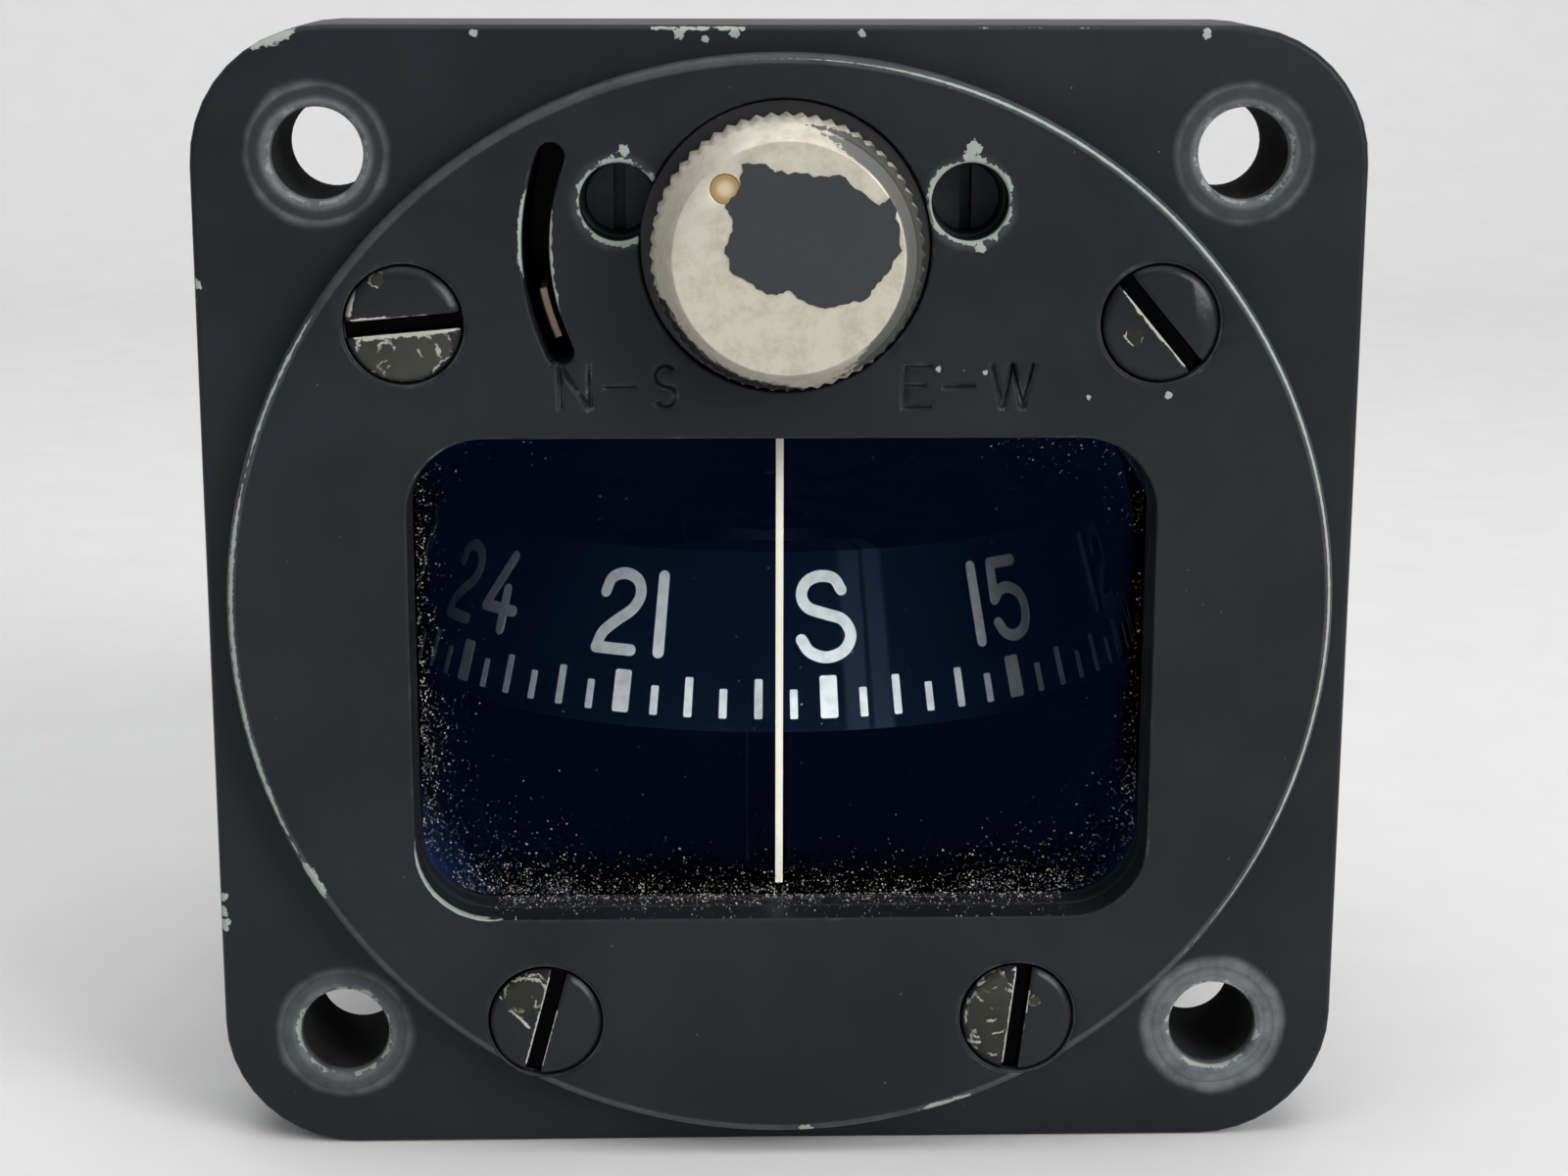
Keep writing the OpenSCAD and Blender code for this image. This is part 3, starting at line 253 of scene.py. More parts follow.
def group(name, inputs, outputs):
    """A shader node group from lists of names, with the sockets it is given and those it gives."""
    tree = bpy.data.node_groups.new(name, "ShaderNodeTree")
    for side, labels in (("INPUT", inputs), ("OUTPUT", outputs)):
        for label in labels.split():
            kind = "Vector" if label in ("Place", "Centre", "Start", "End", "Towards") else "Float"
            tree.interface.new_socket(label, in_out=side, socket_type="NodeSocket" + kind)
    return tree, tree.nodes.new("NodeGroupInput").outputs, tree.nodes.new("NodeGroupOutput").inputs


def use(tree, shared, pick=0, **values):
    """Places a shared node group, and returns one of its outputs, or several by a slice."""
    return put(tree, "Group", values, pick, node_tree=shared)


# A chip is a ragged spot where the paint has gone. Its rim is the broken edge of the paint.
chip, given, gives = group("chip", "Place Centre Radius Ragged", "Mask Rim")
away = arrow(chip, "DISTANCE", given["Place"], given["Centre"])
fine = calc(chip, "DIVIDE", 0.9, given["Radius"])
tatter = calc(chip, "SUBTRACT", noise(chip, given["Place"], fine, 4, 0.68), 0.5)
cover = calc(chip, "SUBTRACT", 1, calc(chip, "DIVIDE", away, given["Radius"]))
bite = calc(chip, "MULTIPLY_ADD", tatter, given["Ragged"], cover)
feed(chip, gives["Mask"], spread(chip, bite, 0, 0.08))
brink = times(chip, spread(chip, bite, -0.05, 0), spread(chip, bite, 0.14, 0.06))
feed(chip, gives["Rim"], brink)

# A scrape is a broken line where a tool or a knock has taken the paint off an edge.
scrape, given, gives = group("scrape", "Place Start End Width Ragged", "Mask")
along = arrow(scrape, "SUBTRACT", given["End"], given["Start"])
offset = arrow(scrape, "SUBTRACT", given["Place"], given["Start"])
done = arrow(scrape, "DOT_PRODUCT", offset, along)
whole = arrow(scrape, "DOT_PRODUCT", along, along)
share = calc(scrape, "DIVIDE", done, whole, clamp=True)
nearest = put(scrape, "VectorMath", {0: along, "Scale": share}, operation="SCALE")
aside = arrow(scrape, "DISTANCE", offset, nearest)
feed(scrape, gives["Mask"], torn_band(scrape, given, 1, aside))

# An arc is a scrape that runs round a centre in the front's plane, so far to either side of a bearing.
arc, given, gives = group("arc", "Place Centre Towards Radius Span Width Ragged", "Mask")
offset, flat, away = from_axis(arc, given["Place"], given["Centre"])
facing = arrow(arc, "DOT_PRODUCT", flat, given["Towards"])
swept = calc(arc, "ARCCOSINE", calc(arc, "DIVIDE", facing, away))
fade = spread(arc, swept, given["Span"], times(arc, given["Span"], 0.6))
aside = calc(arc, "ABSOLUTE", calc(arc, "SUBTRACT", away, given["Radius"]))
level = calc(arc, "ABSOLUTE", put(arc, "SeparateXYZ", {0: offset}, pick="Y"))
struck = times(arc, calc(arc, "GREATER_THAN", fade, 0.001), spread(arc, level, 0.6, 0.45))
feed(arc, gives["Mask"], times(arc, struck, torn_band(arc, given, fade, aside)))

# A scuffed ring is what a turning bolt head or washer leaves on the paint round its hole, and a bored
# edge is the paint that has broken away at the hole's mouth. The pit is painted shade: the hole's wall,
# darkened where shadow falls in it.
scuff, given, gives = group("scuff", "Place Centre Inner Outer Hollow", "Mask Bore Pit")
offset, flat, away = from_axis(scuff, given["Place"], given["Centre"])
deep = put(scuff, "SeparateXYZ", {0: offset}, pick="Y")
wander = noise(scuff, given["Place"], 0.35, 2)
drifted = calc(scuff, "MULTIPLY_ADD", wander, 0.3, away)
grooves = spread(scuff, rings(scuff, drifted, 2.4, 3), 0.25, 0.6, 0.65)
patchy = spread(scuff, noise(scuff, given["Place"], 0.7, 5, 0.65), 0.25, 0.65, 0.5)
inside = spread(scuff, away, calc(scuff, "SUBTRACT", given["Inner"], 0.15), given["Inner"])
brink = calc(scuff, "MULTIPLY_ADD", calc(scuff, "SUBTRACT", wander, 0.5), 0.5, given["Outer"])
outside = spread(scuff, away, brink, calc(scuff, "SUBTRACT", brink, 0.65))
middle = times(scuff, calc(scuff, "ADD", given["Inner"], given["Outer"]), 0.5)
aside = calc(scuff, "ABSOLUTE", calc(scuff, "SUBTRACT", drifted, calc(scuff, "ADD", middle, 0.15)))
dip = times(scuff, spread(scuff, aside, 0.45, 0.1), given["Hollow"])
outside = times(scuff, outside, calc(scuff, "SUBTRACT", 1, dip))
paler_mask = times(scuff, grooves, patchy)
feed(scuff, gives["Mask"], times(scuff, times(scuff, inside, outside), paler_mask))
broken = calc(scuff, "SUBTRACT", noise(scuff, given["Place"], 1.1, 5, 0.7), 0.43)
mouth = calc(scuff, "MULTIPLY_ADD", broken, 1.8, given["Inner"])
chipped = spread(scuff, away, mouth, calc(scuff, "SUBTRACT", mouth, 0.03))
feed(scuff, gives["Bore"], times(scuff, chipped, spread(scuff, deep, 0.3, 0.2)))
# Painted shade: this last mask marks the hole's wall for a near-black colour, where shadow falls.
near_wall, at_wall = (calc(scuff, "ADD", given["Inner"], gap) for gap in (0.08, 0.05))
within = spread(scuff, away, near_wall, at_wall)
feed(scuff, gives["Pit"], times(scuff, within, spread(scuff, deep, 0.2, 1)))

# A worn edge is where handling has rubbed a corner through, in short ragged stretches, and polished
# the paint on either side of them. The polished band is also painted paler, as a painted sheen along the
# edges.
worn, given, gives = group("worn_edge", "Place Width Amount", "Mask Rub")
rounded = put(worn, "Bevel", {"Radius": given["Width"]}, samples=4)
sharp = arrow(worn, "DOT_PRODUCT", rounded, put(worn, "NewGeometry", pick="Normal"))
edge = spread(worn, sharp, 0.995, 0.9)
stretch = noise(worn, given["Place"], 0.55, 6, 0.7)
through = spread(worn, calc(worn, "ADD", stretch, given["Amount"]), 0.68, 0.74)
feed(worn, gives["Mask"], times(worn, edge, through))
feed(worn, gives["Rub"], times(worn, edge, spread(worn, stretch, 0.36, 0.6)))

# A fine grain: the tone drifts softly over the piece, and a fine pebble roughens it.
grain, given, gives = group("grain", "Place Size", "Tone Height")
feed(grain, gives["Tone"], noise(grain, given["Place"], 0.09, 5, 0.6))
feed(grain, gives["Height"], noise(grain, given["Place"], given["Size"], 3))

# Lint is a thin scatter of pale specks of dust.
lint, given, gives = group("lint", "Place Size Amount", "Mask")
cell = {"Vector": given["Place"], "Scale": 1.1}
away, shade = put(lint, "TexVoronoi", cell, pick=slice(2))
luck = put(lint, "SeparateColor", {"Color": shade})
specks = spread(lint, away, given["Size"], times(lint, given["Size"], 0.5))
feed(lint, gives["Mask"], times(lint, specks, calc(lint, "LESS_THAN", luck, given["Amount"])))


def sweep(tree, place, centre, radius, degrees, spread_degrees, width, ragged=3.2):
    """An arc's mask, about a bearing in degrees from the right."""
    turn = math.radians(degrees)
    values = {"Centre": centre, "Towards": (math.cos(turn), 0, math.sin(turn)), "Radius": radius,
              "Span": math.radians(spread_degrees), "Width": width, "Ragged": ragged}
    return use(tree, arc, Place=place, **values)


def emboss(tree, shader, height, strength, depth):
    """Raises a surface by a height that changes over it, so far in millimetres."""
    bump = put(tree, "Bump", {"Height": height, "Strength": strength, "Distance": depth * MM})
    feed(tree, shader["Normal"], bump)


def enamel(name, chips=(), scuffs=(), scrapes=(), arcs=(), edge_wear=0.1):
    """Satin charcoal enamel over primer. Its chips, scuffs, scrapes and arcs are in millimetres."""
    made, tree, shader, place = material(name, Specular_IOR_Level=0.2)
    tone, pebble = use(tree, grain, pick=slice(2), Place=place, Size=3.2)
    bare, rub_and_sheen = use(tree, worn, pick=slice(2), Place=place, Width=0.14 * MM, Amount=edge_wear)
    for x, y, z, radius in chips:
        gone = use(tree, chip, Place=place, Centre=(x, y, z), Radius=radius, Ragged=2.4)
        bare = calc(tree, "MAXIMUM", bare, gone)
    for start, end, width in scrapes:
        gone = use(tree, scrape, Place=place, Start=start, End=end, Width=width, Ragged=3.2)
        bare = calc(tree, "MAXIMUM", bare, gone)
    for stretch in arcs:
        bare = calc(tree, "MAXIMUM", bare, sweep(tree, place, *stretch))
    grey = use(tree, lint, Place=place, Size=0.055, Amount=0.12)
    bore_shade = 0
    for x, y, z, low, high, strength, broken, hollow in scuffs:
        values = {"Place": place, "Centre": (x, y, z), "Inner": low, "Outer": high, "Hollow": hollow}
        ring, mouth, bore = use(tree, scuff, pick=slice(3), **values)
        grey = calc(tree, "MAXIMUM", grey, times(tree, ring, strength))
        if broken:
            bare = calc(tree, "MAXIMUM", bare, times(tree, mouth, broken))
            bore_shade = calc(tree, "MAXIMUM", bore_shade, bore)
    paint = mix(tree, spread(tree, tone, 0.3, 0.7), dark_charcoal, charcoal)
    paint = mix(tree, grey, paint, scuffed_grey)
    # Partly rubbed paint, partly painted sheen: every edge is painted a paler grey.
    paint = mix(tree, times(tree, rub_and_sheen, 0.55), paint, rubbed_sheen_grey)
    paint = mix(tree, bare, paint, primer)
    # Painted shade: the walls of the bolt and key holes are painted near black.
    if scuffs:
        paint = mix(tree, times(tree, bore_shade, 0.9), paint, bore_shade_black)
    feed(tree, shader["Base Color"], paint)
    feed(tree, shader["Metallic"], times(tree, rub_and_sheen, 0.35))
    rough = calc(tree, "MULTIPLY_ADD", tone, 0.18, calc(tree, "MULTIPLY_ADD", bare, 0.2, 0.34))
    feed(tree, shader["Roughness"], calc(tree, "MAXIMUM", rough, bore_shade))
    emboss(tree, shader, calc(tree, "MULTIPLY_ADD", bare, -1.2, pebble), 0.25, 0.02)
    return made


weld_gap = 0.001 * MM


def soften(node, width, angle):
    """Rounds a CAD piece's sharp edges by modifiers, so that its own mesh stays as it is."""
    piece = cad[node]
    layers = piece.data.attributes
    if "custom_normal" in layers:
        layers.remove(layers["custom_normal"])
    piece.data.shade_smooth()
    piece.modifiers.new("weld", "WELD").merge_threshold = weld_gap
    edge = piece.modifiers.new("edge", "BEVEL")
    edge.width = width * MM
    edge.segments = 2
    edge.limit_method = "ANGLE"
    edge.angle_limit = math.radians(angle)
    edge.use_clamp_overlap = False
    edge.loop_slide = False
    piece.modifiers.new("shade", "WEIGHTED_NORMAL").keep_sharp = True


def dress(nodes, made, edge_w=0, angle=35):
    """Gives CAD pieces their material, and rounds their edges if a width is given."""
    for node in nodes.split():
        if edge_w:
            soften(node, edge_w, angle)
        cad[node].data.materials.clear()
        cad[node].data.materials.append(made)


flange_front = 0
flange_top = 29.6
bolt_at = 23.575
bolt_r = 2.35
# Each bolt's scuff: its place, outer radius and strength, how broken its mouth is, and how hollow its ring.
bolt_scuffs = [(x, flange_front, z, bolt_r, *wear) for x, z, wear in (
    (-bolt_at, bolt_at, (3.9, 0.74, 0.4, 0.85)), (bolt_at, bolt_at, (3.8, 0.68, 0.6, 0.7)),
    (-bolt_at, -bolt_at, (3.9, 0.6, 0.7, 0.5)), (bolt_at, -bolt_at, (4.15, 0.9, 0.95, 0.1)))]
flange_chips = [(x, flange_front, z, radius) for x, z, radius in (
    (-15.5, flange_top, 0.22), (-5.2, flange_top, 0.3), (-3.9, 29.3, 0.2), (-2.4, flange_top, 0.25),
    (21.4, flange_top, 0.25), (-29.9, -15.8, 0.3), (-29.9, -17.4, 0.4), (-29.9, -16.7, 0.3),
    (-29.9, 17, 0.3), (-25.8, -0.6, 0.1), (4, flange_top, 0.2))]
flange_scrapes = [((-26.6, 0.1, 29), (-24.6, 0.1, 29.8), 0.3), ((-25.9, 0, 29.2), (-24.9, 0, 29.6), 0.35),
                  ((-6.5, 0, 29.9), (-2, 0, 29.9), 0.16), ((9, 0, 29.95), (16, 0, 29.95), 0.1),
                  ((-30, 0, 12), (-30, 0, 18), 0.12)]
dress("mounting_flange", enamel("flange_enamel", flange_chips, bolt_scuffs, flange_scrapes), 0.35)

# Bezel: a round alloy plate on the flange's front, enamelled to match. It carries the window opening,
# the key holes, the lamp's recess, a curved slot and engraved marks. Its rim is rubbed, and the pale
# ring and lines on it are partly rubbed paint and partly painted highlight.
bezel_front = -2.2
rim_front = -2
rim_r = 28.45
lamp_x = 0.1
lamp_z = 19.1
slot_r = 12.6
slot_half_w = 0.71
key_hole_r = 2.03
key_holes = [(-8.3, 21.35), (9.4, 21.35)]
bezel_chips = [(x, rim_front, z, radius) for x, z, radius in ((1.3, -28.5, 0.35), (10.1, -26.9, 0.3))]
bezel_chips += [(x, bezel_front, z, radius) for x, z, radius in (
    (-8, 23.95, 0.28), (9.5, 24, 0.4), (9.3, 23.6, 0.3), (9.9, 19.1, 0.3), (11.3, 21, 0.2),
    (19.7, 11.5, 0.2), (10.3, 12.7, 0.15), (7.9, 12.9, 0.15), (15.6, 11.4, 0.12))]
bezel_scuffs_and_sheen = [(x, bezel_front, z, key_hole_r, 2.6, 0.3, 0.9, 0) for x, z in key_holes]
# A pale ring along the rim's edge: partly rubbed paint, partly a painted highlight.
bezel_scuffs_and_sheen.append((0, bezel_front, 0, 28.3, 29.4, 0.27, 0, 0))
# The rim's paint is broken most on the lower left, and the curved slot's lips are bare in the middle.
# The long arc on the rim's right and upper right and the arc round the window's lower-left corner are
# painted highlights.
# Each arc: centre, radius, bearing and half its span in degrees, width, and how ragged it is.
bezel_middle = (0, rim_front, 0)
lamp_front = (lamp_x, bezel_front, lamp_z)
window_corner = (-15.3, bezel_front, -12.5)
bezel_wear_and_highlights = [(bezel_middle, rim_r, 186, 22, 0.13), (bezel_middle, rim_r, 210, 2.4, 0.3),
              (bezel_middle, rim_r, 155, 9, 0.08), (bezel_middle, rim_r, 24, 70, 0.08, 1.5),
              (bezel_middle, rim_r, 288, 3, 0.16), (lamp_front, slot_r + slot_half_w, 177, 10, 0.2),
              (lamp_front, slot_r - slot_half_w, 183, 14, 0.17), (window_corner, 4.02, 226, 54, 0.05, 2.6)]
dress("bezel_plate", enamel("bezel_enamel", bezel_chips, bezel_scuffs_and_sheen, arcs=bezel_wear_and_highlights), 0.14)

# Bezel screws: slotted steel screws, painted over with the bezel. The screwdriver has broken the
# paint along the slots, and it has flaked off in shells that show the dark metal under it.
screw_front = -2.4
slot_half = 0.4
flat_r = 2.5
bevel_fall = 0.6
# Deeper than the heads' faces, in the slots and round the heads, the colour goes near black: painted shade.
shade_top, shade_full = -2.3, -2.05
# Each screw: where it is, how far its slot is turned, and its wear, across and up from its middle.
# Shells have a centre and a radius. Lips are bright lines on one lip of the slot, from and to along it,
# with a width. Knocks are other bright broken lines, with a start, an end and a width. Both are broken
# paint edges, painted pale partly as a highlight where they catch the light.
screws = [
    {"at": (-19.2, 15.2), "degrees": 5,
     "shells": [(0.2, -1.6, 1.5), (-1.4, -1.5, 1), (1.6, -1, 0.9), (-1.3, 2.35, 0.42), (-0.8, -2.1, 0.4)],
     "lips": [(1, -2.9, -0.9, 0.13), (1, -0.9, 1.3, 0.05), (-1, -1.9, 2.8, 0.24), (-1, -2.9, 2.9, 0.08)],
     "knocks": [(-2.75, 0.6, -2.5, 1.7, 0.2)]},
    {"at": (19.2, 15.2), "degrees": -50,
     "shells": [(-1.4, -0.6, 0.5)],
     "lips": [(-1, -2.8, 2.8, 0.1), (-1, -1.4, 0.9, 0.16)],
     "knocks": []},
    {"at": (-12.6, -22.2), "degrees": 75,
     "shells": [(-1, 1.6, 1.15), (-1.4, 1.2, 0.8), (-0.4, 2, 0.7)],
     "lips": [(1, -2.7, 2.6, 0.09), (-1, -2.4, 0.8, 0.06)],
     "knocks": [(-2.4, 1.4, -0.9, -0.25, 0.09)]},
    {"at": (12.6, -22.2), "degrees": 83,
     "shells": [(-1.6, 0.4, 1.4), (-1.5, -1, 1), (-1.2, 1.6, 1), (0.9, 1, 0.3)],
     "lips": [(1, -2.7, 2.7, 0.1), (-1, 0.4, 1.6, 0.07)],
     "knocks": [(-2.1, 1.9, 0.2, 2.85, 0.1), (-2.65, -1.3, -2, -1.3, 0.1)]},
]


def on_head(middle, across, up):
    """The point on a screw head's face or bevel, across and up from its middle."""
    return middle + Vector((across, bevel_fall * max(math.hypot(across, up) - flat_r, 0), up))


def gloss(tree, shader, value, span, low):
    """Roughens a surface from a low value up, by a value that changes over it."""
    feed(tree, shader["Roughness"], calc(tree, "MULTIPLY_ADD", value, span, low))


made, tree, shader, place = material("screw_paint", Specular_IOR_Level=0.3)
tone, pebble = use(tree, grain, pick=slice(2), Place=place, Size=4)
gone = use(tree, worn, Place=place, Width=0.1 * MM, Amount=0.06)
glint_and_wear = gone
shell_glints = 0
for screw in screws:
    middle = Vector((screw["at"][0], screw_front, screw["at"][1]))
    for across, up, radius in screw["shells"]:
        values = {"Place": place, "Centre": middle + Vector((across, 0, up)), "Radius": radius, "Ragged": 1.4}
        shell, brink = use(tree, chip, pick=slice(2), **values)
        gone = calc(tree, "MAXIMUM", gone, shell)
        shell_glints = calc(tree, "MAXIMUM", shell_glints, brink)
    turn = math.radians(screw["degrees"])
    along = Vector((math.cos(turn), 0, math.sin(turn)))
    beside = Vector((-along.z, 0, along.x)) * slot_half
    lines = [(middle + side * beside + low * along, middle + side * beside + high * along, width)
             for side, low, high, width in screw["lips"]]
    lines += [(on_head(middle, a, b), on_head(middle, c, d), width) for a, b, c, d, width in screw["knocks"]]
    for start, end, width in lines:
        line = use(tree, scrape, Place=place, Start=start, End=end, Width=width, Ragged=3)
        glint_and_wear = calc(tree, "MAXIMUM", glint_and_wear, line)
# Where flaked shells lie side by side, only the outline round them all is bright, and that is broken.
# The bright outline is a painted highlight, where the broken edge of the paint catches the light.
chipped = spread(tree, noise(tree, place, 1.3, 3), 0.46, 0.56)
outline = times(tree, shell_glints, chipped)
glint_and_wear = calc(tree, "MAXIMUM", glint_and_wear, times(tree, outline, 0.85))
paint = mix(tree, tone, colour(16, 18, 21), colour(27, 29, 33))
shade_and_grime = spread(tree, put(tree, "SeparateXYZ", {0: place}, pick="Y"), shade_top, shade_full)
under = mix(tree, spread(tree, tone, 0.35, 0.65), colour(40, 40, 37), colour(66, 65, 59))
top = mix(tree, times(tree, gone, 0.85), paint, under)
# Painted highlight, partly wear: the broken paint edges are painted pale.
top = mix(tree, glint_and_wear, top, colour(176, 175, 162))
# Painted shade: the slots and the heads' sides are painted near black.
dye(tree, shader, shade_and_grime, top, colour(9, 9, 10))
feed(tree, shader["Metallic"], calc(tree, "MULTIPLY_ADD", gone, 0.3, shade_and_grime, clamp=True))
gloss(tree, shader, tone, 0.2, 0.2)
emboss(tree, shader, calc(tree, "MULTIPLY_ADD", gone, -1.5, pebble), 0.4, 0.03)
dress("bezel_screws", made, 0.08)


def lattice(lines, width, start=0, ends=False):
    """Faces between closed lines of points. The last line joins the first, or both end lines are filled."""
    faces = []
    for line in range(lines - 1 if ends else lines):
        here = start + line * width
        there = start + (line + 1) % lines * width
        for spot in range(width):
            after = (spot + 1) % width
            faces.append((here + spot, there + spot, there + after, here + after))
    if ends:
        faces.append(tuple(range(start, start + width)))
        faces.append(tuple(reversed(range(there, there + width))))
    return faces


# Paint has run into the narrow gap round each head and nearly fills it. It has sunk most on the left.
bead_rows = [(3.2, -1.7), (3.2, -2.14), (3.09, -2.13), (3.03, -2.1), (2.98, -2), (2.98, -1.7)]
soft_rows = (-2.1, -2)
bead_sides = 72
deepest_sink = 0.3
sink_kept = 0.75
sink_left, sink_right = 1.6, 0.6
runs = random.Random(11)
points, faces = [], []
for screw in screws:
    x, z = screw["at"]
    faces += lattice(bead_sides, len(bead_rows), len(points))
    sink = 0
    for side in range(bead_sides):
        turn = 2 * math.pi * side / bead_sides
        share = sink_left if math.cos(turn) < -0.2 else sink_right
        sink = sink_kept * sink + runs.uniform(-0.02, 0.1) * share
        for reach, depth in bead_rows:
            fall = min(max(sink, 0), deepest_sink) if depth in soft_rows else 0
            points.append((x + reach * math.cos(turn), depth + fall, z + reach * math.sin(turn)))
beads = solid("screw_paint_beads", points, faces, enamel("bead_enamel", edge_wear=0.02))
beads.data.shade_smooth()
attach(beads, "root")

# Window: a pane of flat glass against a rubber gasket, with a cream lubber line painted on a fine
# strip down its back. Its bloomed face mirrors a faint navy, and flakes of old sealant lie round it.
glass_tint = (0.94, 0.95, 0.97, 1)
bloom_tint = (0.14, 0.33, 1, 1)
pane_inset = 0.03


def let_light_in(tree, tint=(1, 1, 1, 1)):
    """Lets the lamps' light through a clear piece without bending it, onto what lies behind."""
    clear = put(tree, "BsdfTransparent", {"Color": tint})
    shadow = put(tree, "LightPath", pick="Is Shadow Ray")
    glass = tree.nodes["Principled BSDF"].outputs[0]
    passed = put(tree, "MixShader", {0: shadow, 1: glass, 2: clear})
    feed(tree, tree.nodes["Material Output"].inputs["Surface"], passed)


def toned(name, size, dark, pale, rough, raised=0, depth=0, **shader_values):
    """A material that drifts between two tones and two gloss values, with a fine pebble of a size."""
    made, tree, shader, place = material(name, **shader_values)
    tone, pebble = use(tree, grain, pick=slice(2), Place=place, Size=size)
    dye(tree, shader, tone, dark, pale)
    gloss(tree, shader, tone, *rough)
    if raised:
        emboss(tree, shader, pebble, raised, depth)
    return made


made, tree, shader, place = material("pane_glass", Transmission_Weight=1, IOR=1.14,
                                     Base_Color=glass_tint, Specular_Tint=bloom_tint)
feed(tree, shader["Roughness"], spread(tree, noise(tree, place, 0.12, 3), 0.45, 0.8, 0, 0.05))
let_light_in(tree, (0.9, 0.93, 0.96, 1))
dress("window_pane", made)
cad["window_pane"].modifiers.new("weld", "WELD").merge_threshold = weld_gap
inset = cad["window_pane"].modifiers.new("inset", "DISPLACE")
inset.mid_level = 0
inset.strength = -pane_inset * MM
dress("lubber_line", toned("cream_paint", 5, colour(226, 216, 192), colour(240, 232, 212), (0.3, 0.45)))
rubber = toned("rubber", 2, colour(14, 14, 15), colour(26, 26, 27), (0.2, 0.6), 0.3, 0.02)
dress("window_seal bowl_seal", rubber)

window_x = 19.3
window_low = -16.5
window_high = 9.3
corner_r = 4
pane_front = 2
ledge_depth = 4
flake_corners = 5
flake_least, flake_mean, flake_most = 0.022, 0.018, 0.08
flake_gap = 0.03
wall_gap = 0.02
ledge_front = 0.1
farthest = 24
chance = random.Random(7)


def flake(points, faces, centre, size):
    """Adds one small ragged closed flake to a mesh's lists."""
    x, y, z = centre
    start = len(points)
    turn = chance.uniform(0, math.pi)
    slim = chance.uniform(0.55, 1)
    for step in range(flake_corners):
        angle = 2 * math.pi * step / flake_corners
        reach = size * chance.uniform(0.5, 1)
        long, short = reach * math.cos(angle), slim * reach * math.sin(angle)
        across = long * math.cos(turn) - short * math.sin(turn)
        up = long * math.sin(turn) + short * math.cos(turn)
        points.append((x + across, y, z + up))
    points.append((x, y - 0.25 * size, z))
    points.append((x, y + 0.2 * size, z))
    front = start + flake_corners
    for step in range(flake_corners):
        after = (step + 1) % flake_corners
        faces.append((start + step, start + after, front))
        faces.append((start + after, start + step, front + 1))


# Where the flakes lie: how many, along from and to, how far they stray, and which side they keep to.
drifts = [(1500, -15.3, 15.3, 1, "ledge"), (1500, -17.5, 17.5, 0.7, "bottom"),
          (500, -17.8, -11, 1.3, "bottom"), (330, 10, 17.8, 1.1, "bottom"),
          (560, -14, 7.5, 0.45, "left"), (380, -14.5, -5, 0.8, "left"),
          (150, -14, 2, 0.35, "right"), (190, -14.8, -9, 0.8, "right"), (210, 11, 18.6, 0.8, "top"),
          (110, 3.5, 8.3, 0.8, "right"), (90, -18.6, -13, 0.6, "top"), (160, -18, 18, 9, "bottom")]
points, faces = [], []
for count, low, high, stray, side in drifts:
    for _ in range(count):
        along = chance.uniform(low, high)
        inward = min(chance.expovariate(1 / stray), farthest) + 2 * flake_gap
        spots = {"ledge": (along, window_low + flake_gap), "bottom": (along, window_low + inward),
                 "top": (along, window_high - inward), "left": (inward - window_x, along),
                 "right": (window_x - inward, along)}
        across, up = spots[side]
        depth = pane_front - flake_gap
        if side == "ledge":
            depth = pane_front - ledge_front - min(inward, ledge_depth)
        size = min(chance.expovariate(1 / flake_mean) + flake_least, flake_most)
        corner_x = max(abs(across) - (window_x - corner_r), 0)
        corner_z = max(window_low + corner_r - up, up - window_high + corner_r, 0)
        if math.hypot(corner_x, corner_z) < corner_r - wall_gap and window_low < up < window_high:
            flake(points, faces, (across, depth, up), size)
made, tree, shader, place = material("sealant_flakes")
tone = noise(tree, place, 1.5, 2)
dye(tree, shader, spread(tree, tone, 0.35, 0.65), colour(92, 90, 84), colour(208, 204, 193))
gloss(tree, shader, tone, 0.3, 0.5)
dust = solid("window_flakes", points, faces, made)
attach(dust, "root")

# Bowl: the moulded black case that holds the fluid, round at the back, with a flat deck for the
# correctors. Inside it is navy, as the fluid and its lining look. A brass plug closes its filler.
pivot = Vector((0, 28.015, -4.485))
lining_r = 24.4
deck_middle = 10 - pivot.z
made, tree, shader, place = material("bowl_plastic", Specular_IOR_Level=0.25)
tone, pebble = use(tree, grain, pick=slice(2), Place=place, Size=1.6)
x, y, z = put(tree, "SeparateXYZ", {0: arrow(tree, "SUBTRACT", place, pivot)}, pick=slice(3))
behind = calc(tree, "MAXIMUM", y, 0)
away = arrow(tree, "LENGTH", put(tree, "CombineXYZ", {"X": x, "Y": behind, "Z": z}))
below_deck = calc(tree, "LESS_THAN", z, deck_middle)
lining = times(tree, spread(tree, away, lining_r, lining_r - 0.2), below_deck)
case = mix(tree, tone, colour(24, 25, 27), colour(36, 37, 39))
case = mix(tree, use(tree, lint, Place=place, Size=0.08, Amount=0.06), case, colour(110, 110, 108))
navy = mix(tree, tone, colour(16, 32, 60), colour(24, 44, 78))
dye(tree, shader, lining, case, navy)
gloss(tree, shader, tone, 0.25, 0.35)
emboss(tree, shader, pebble, 0.3, 0.03)
dress("bowl", made, 0.2)


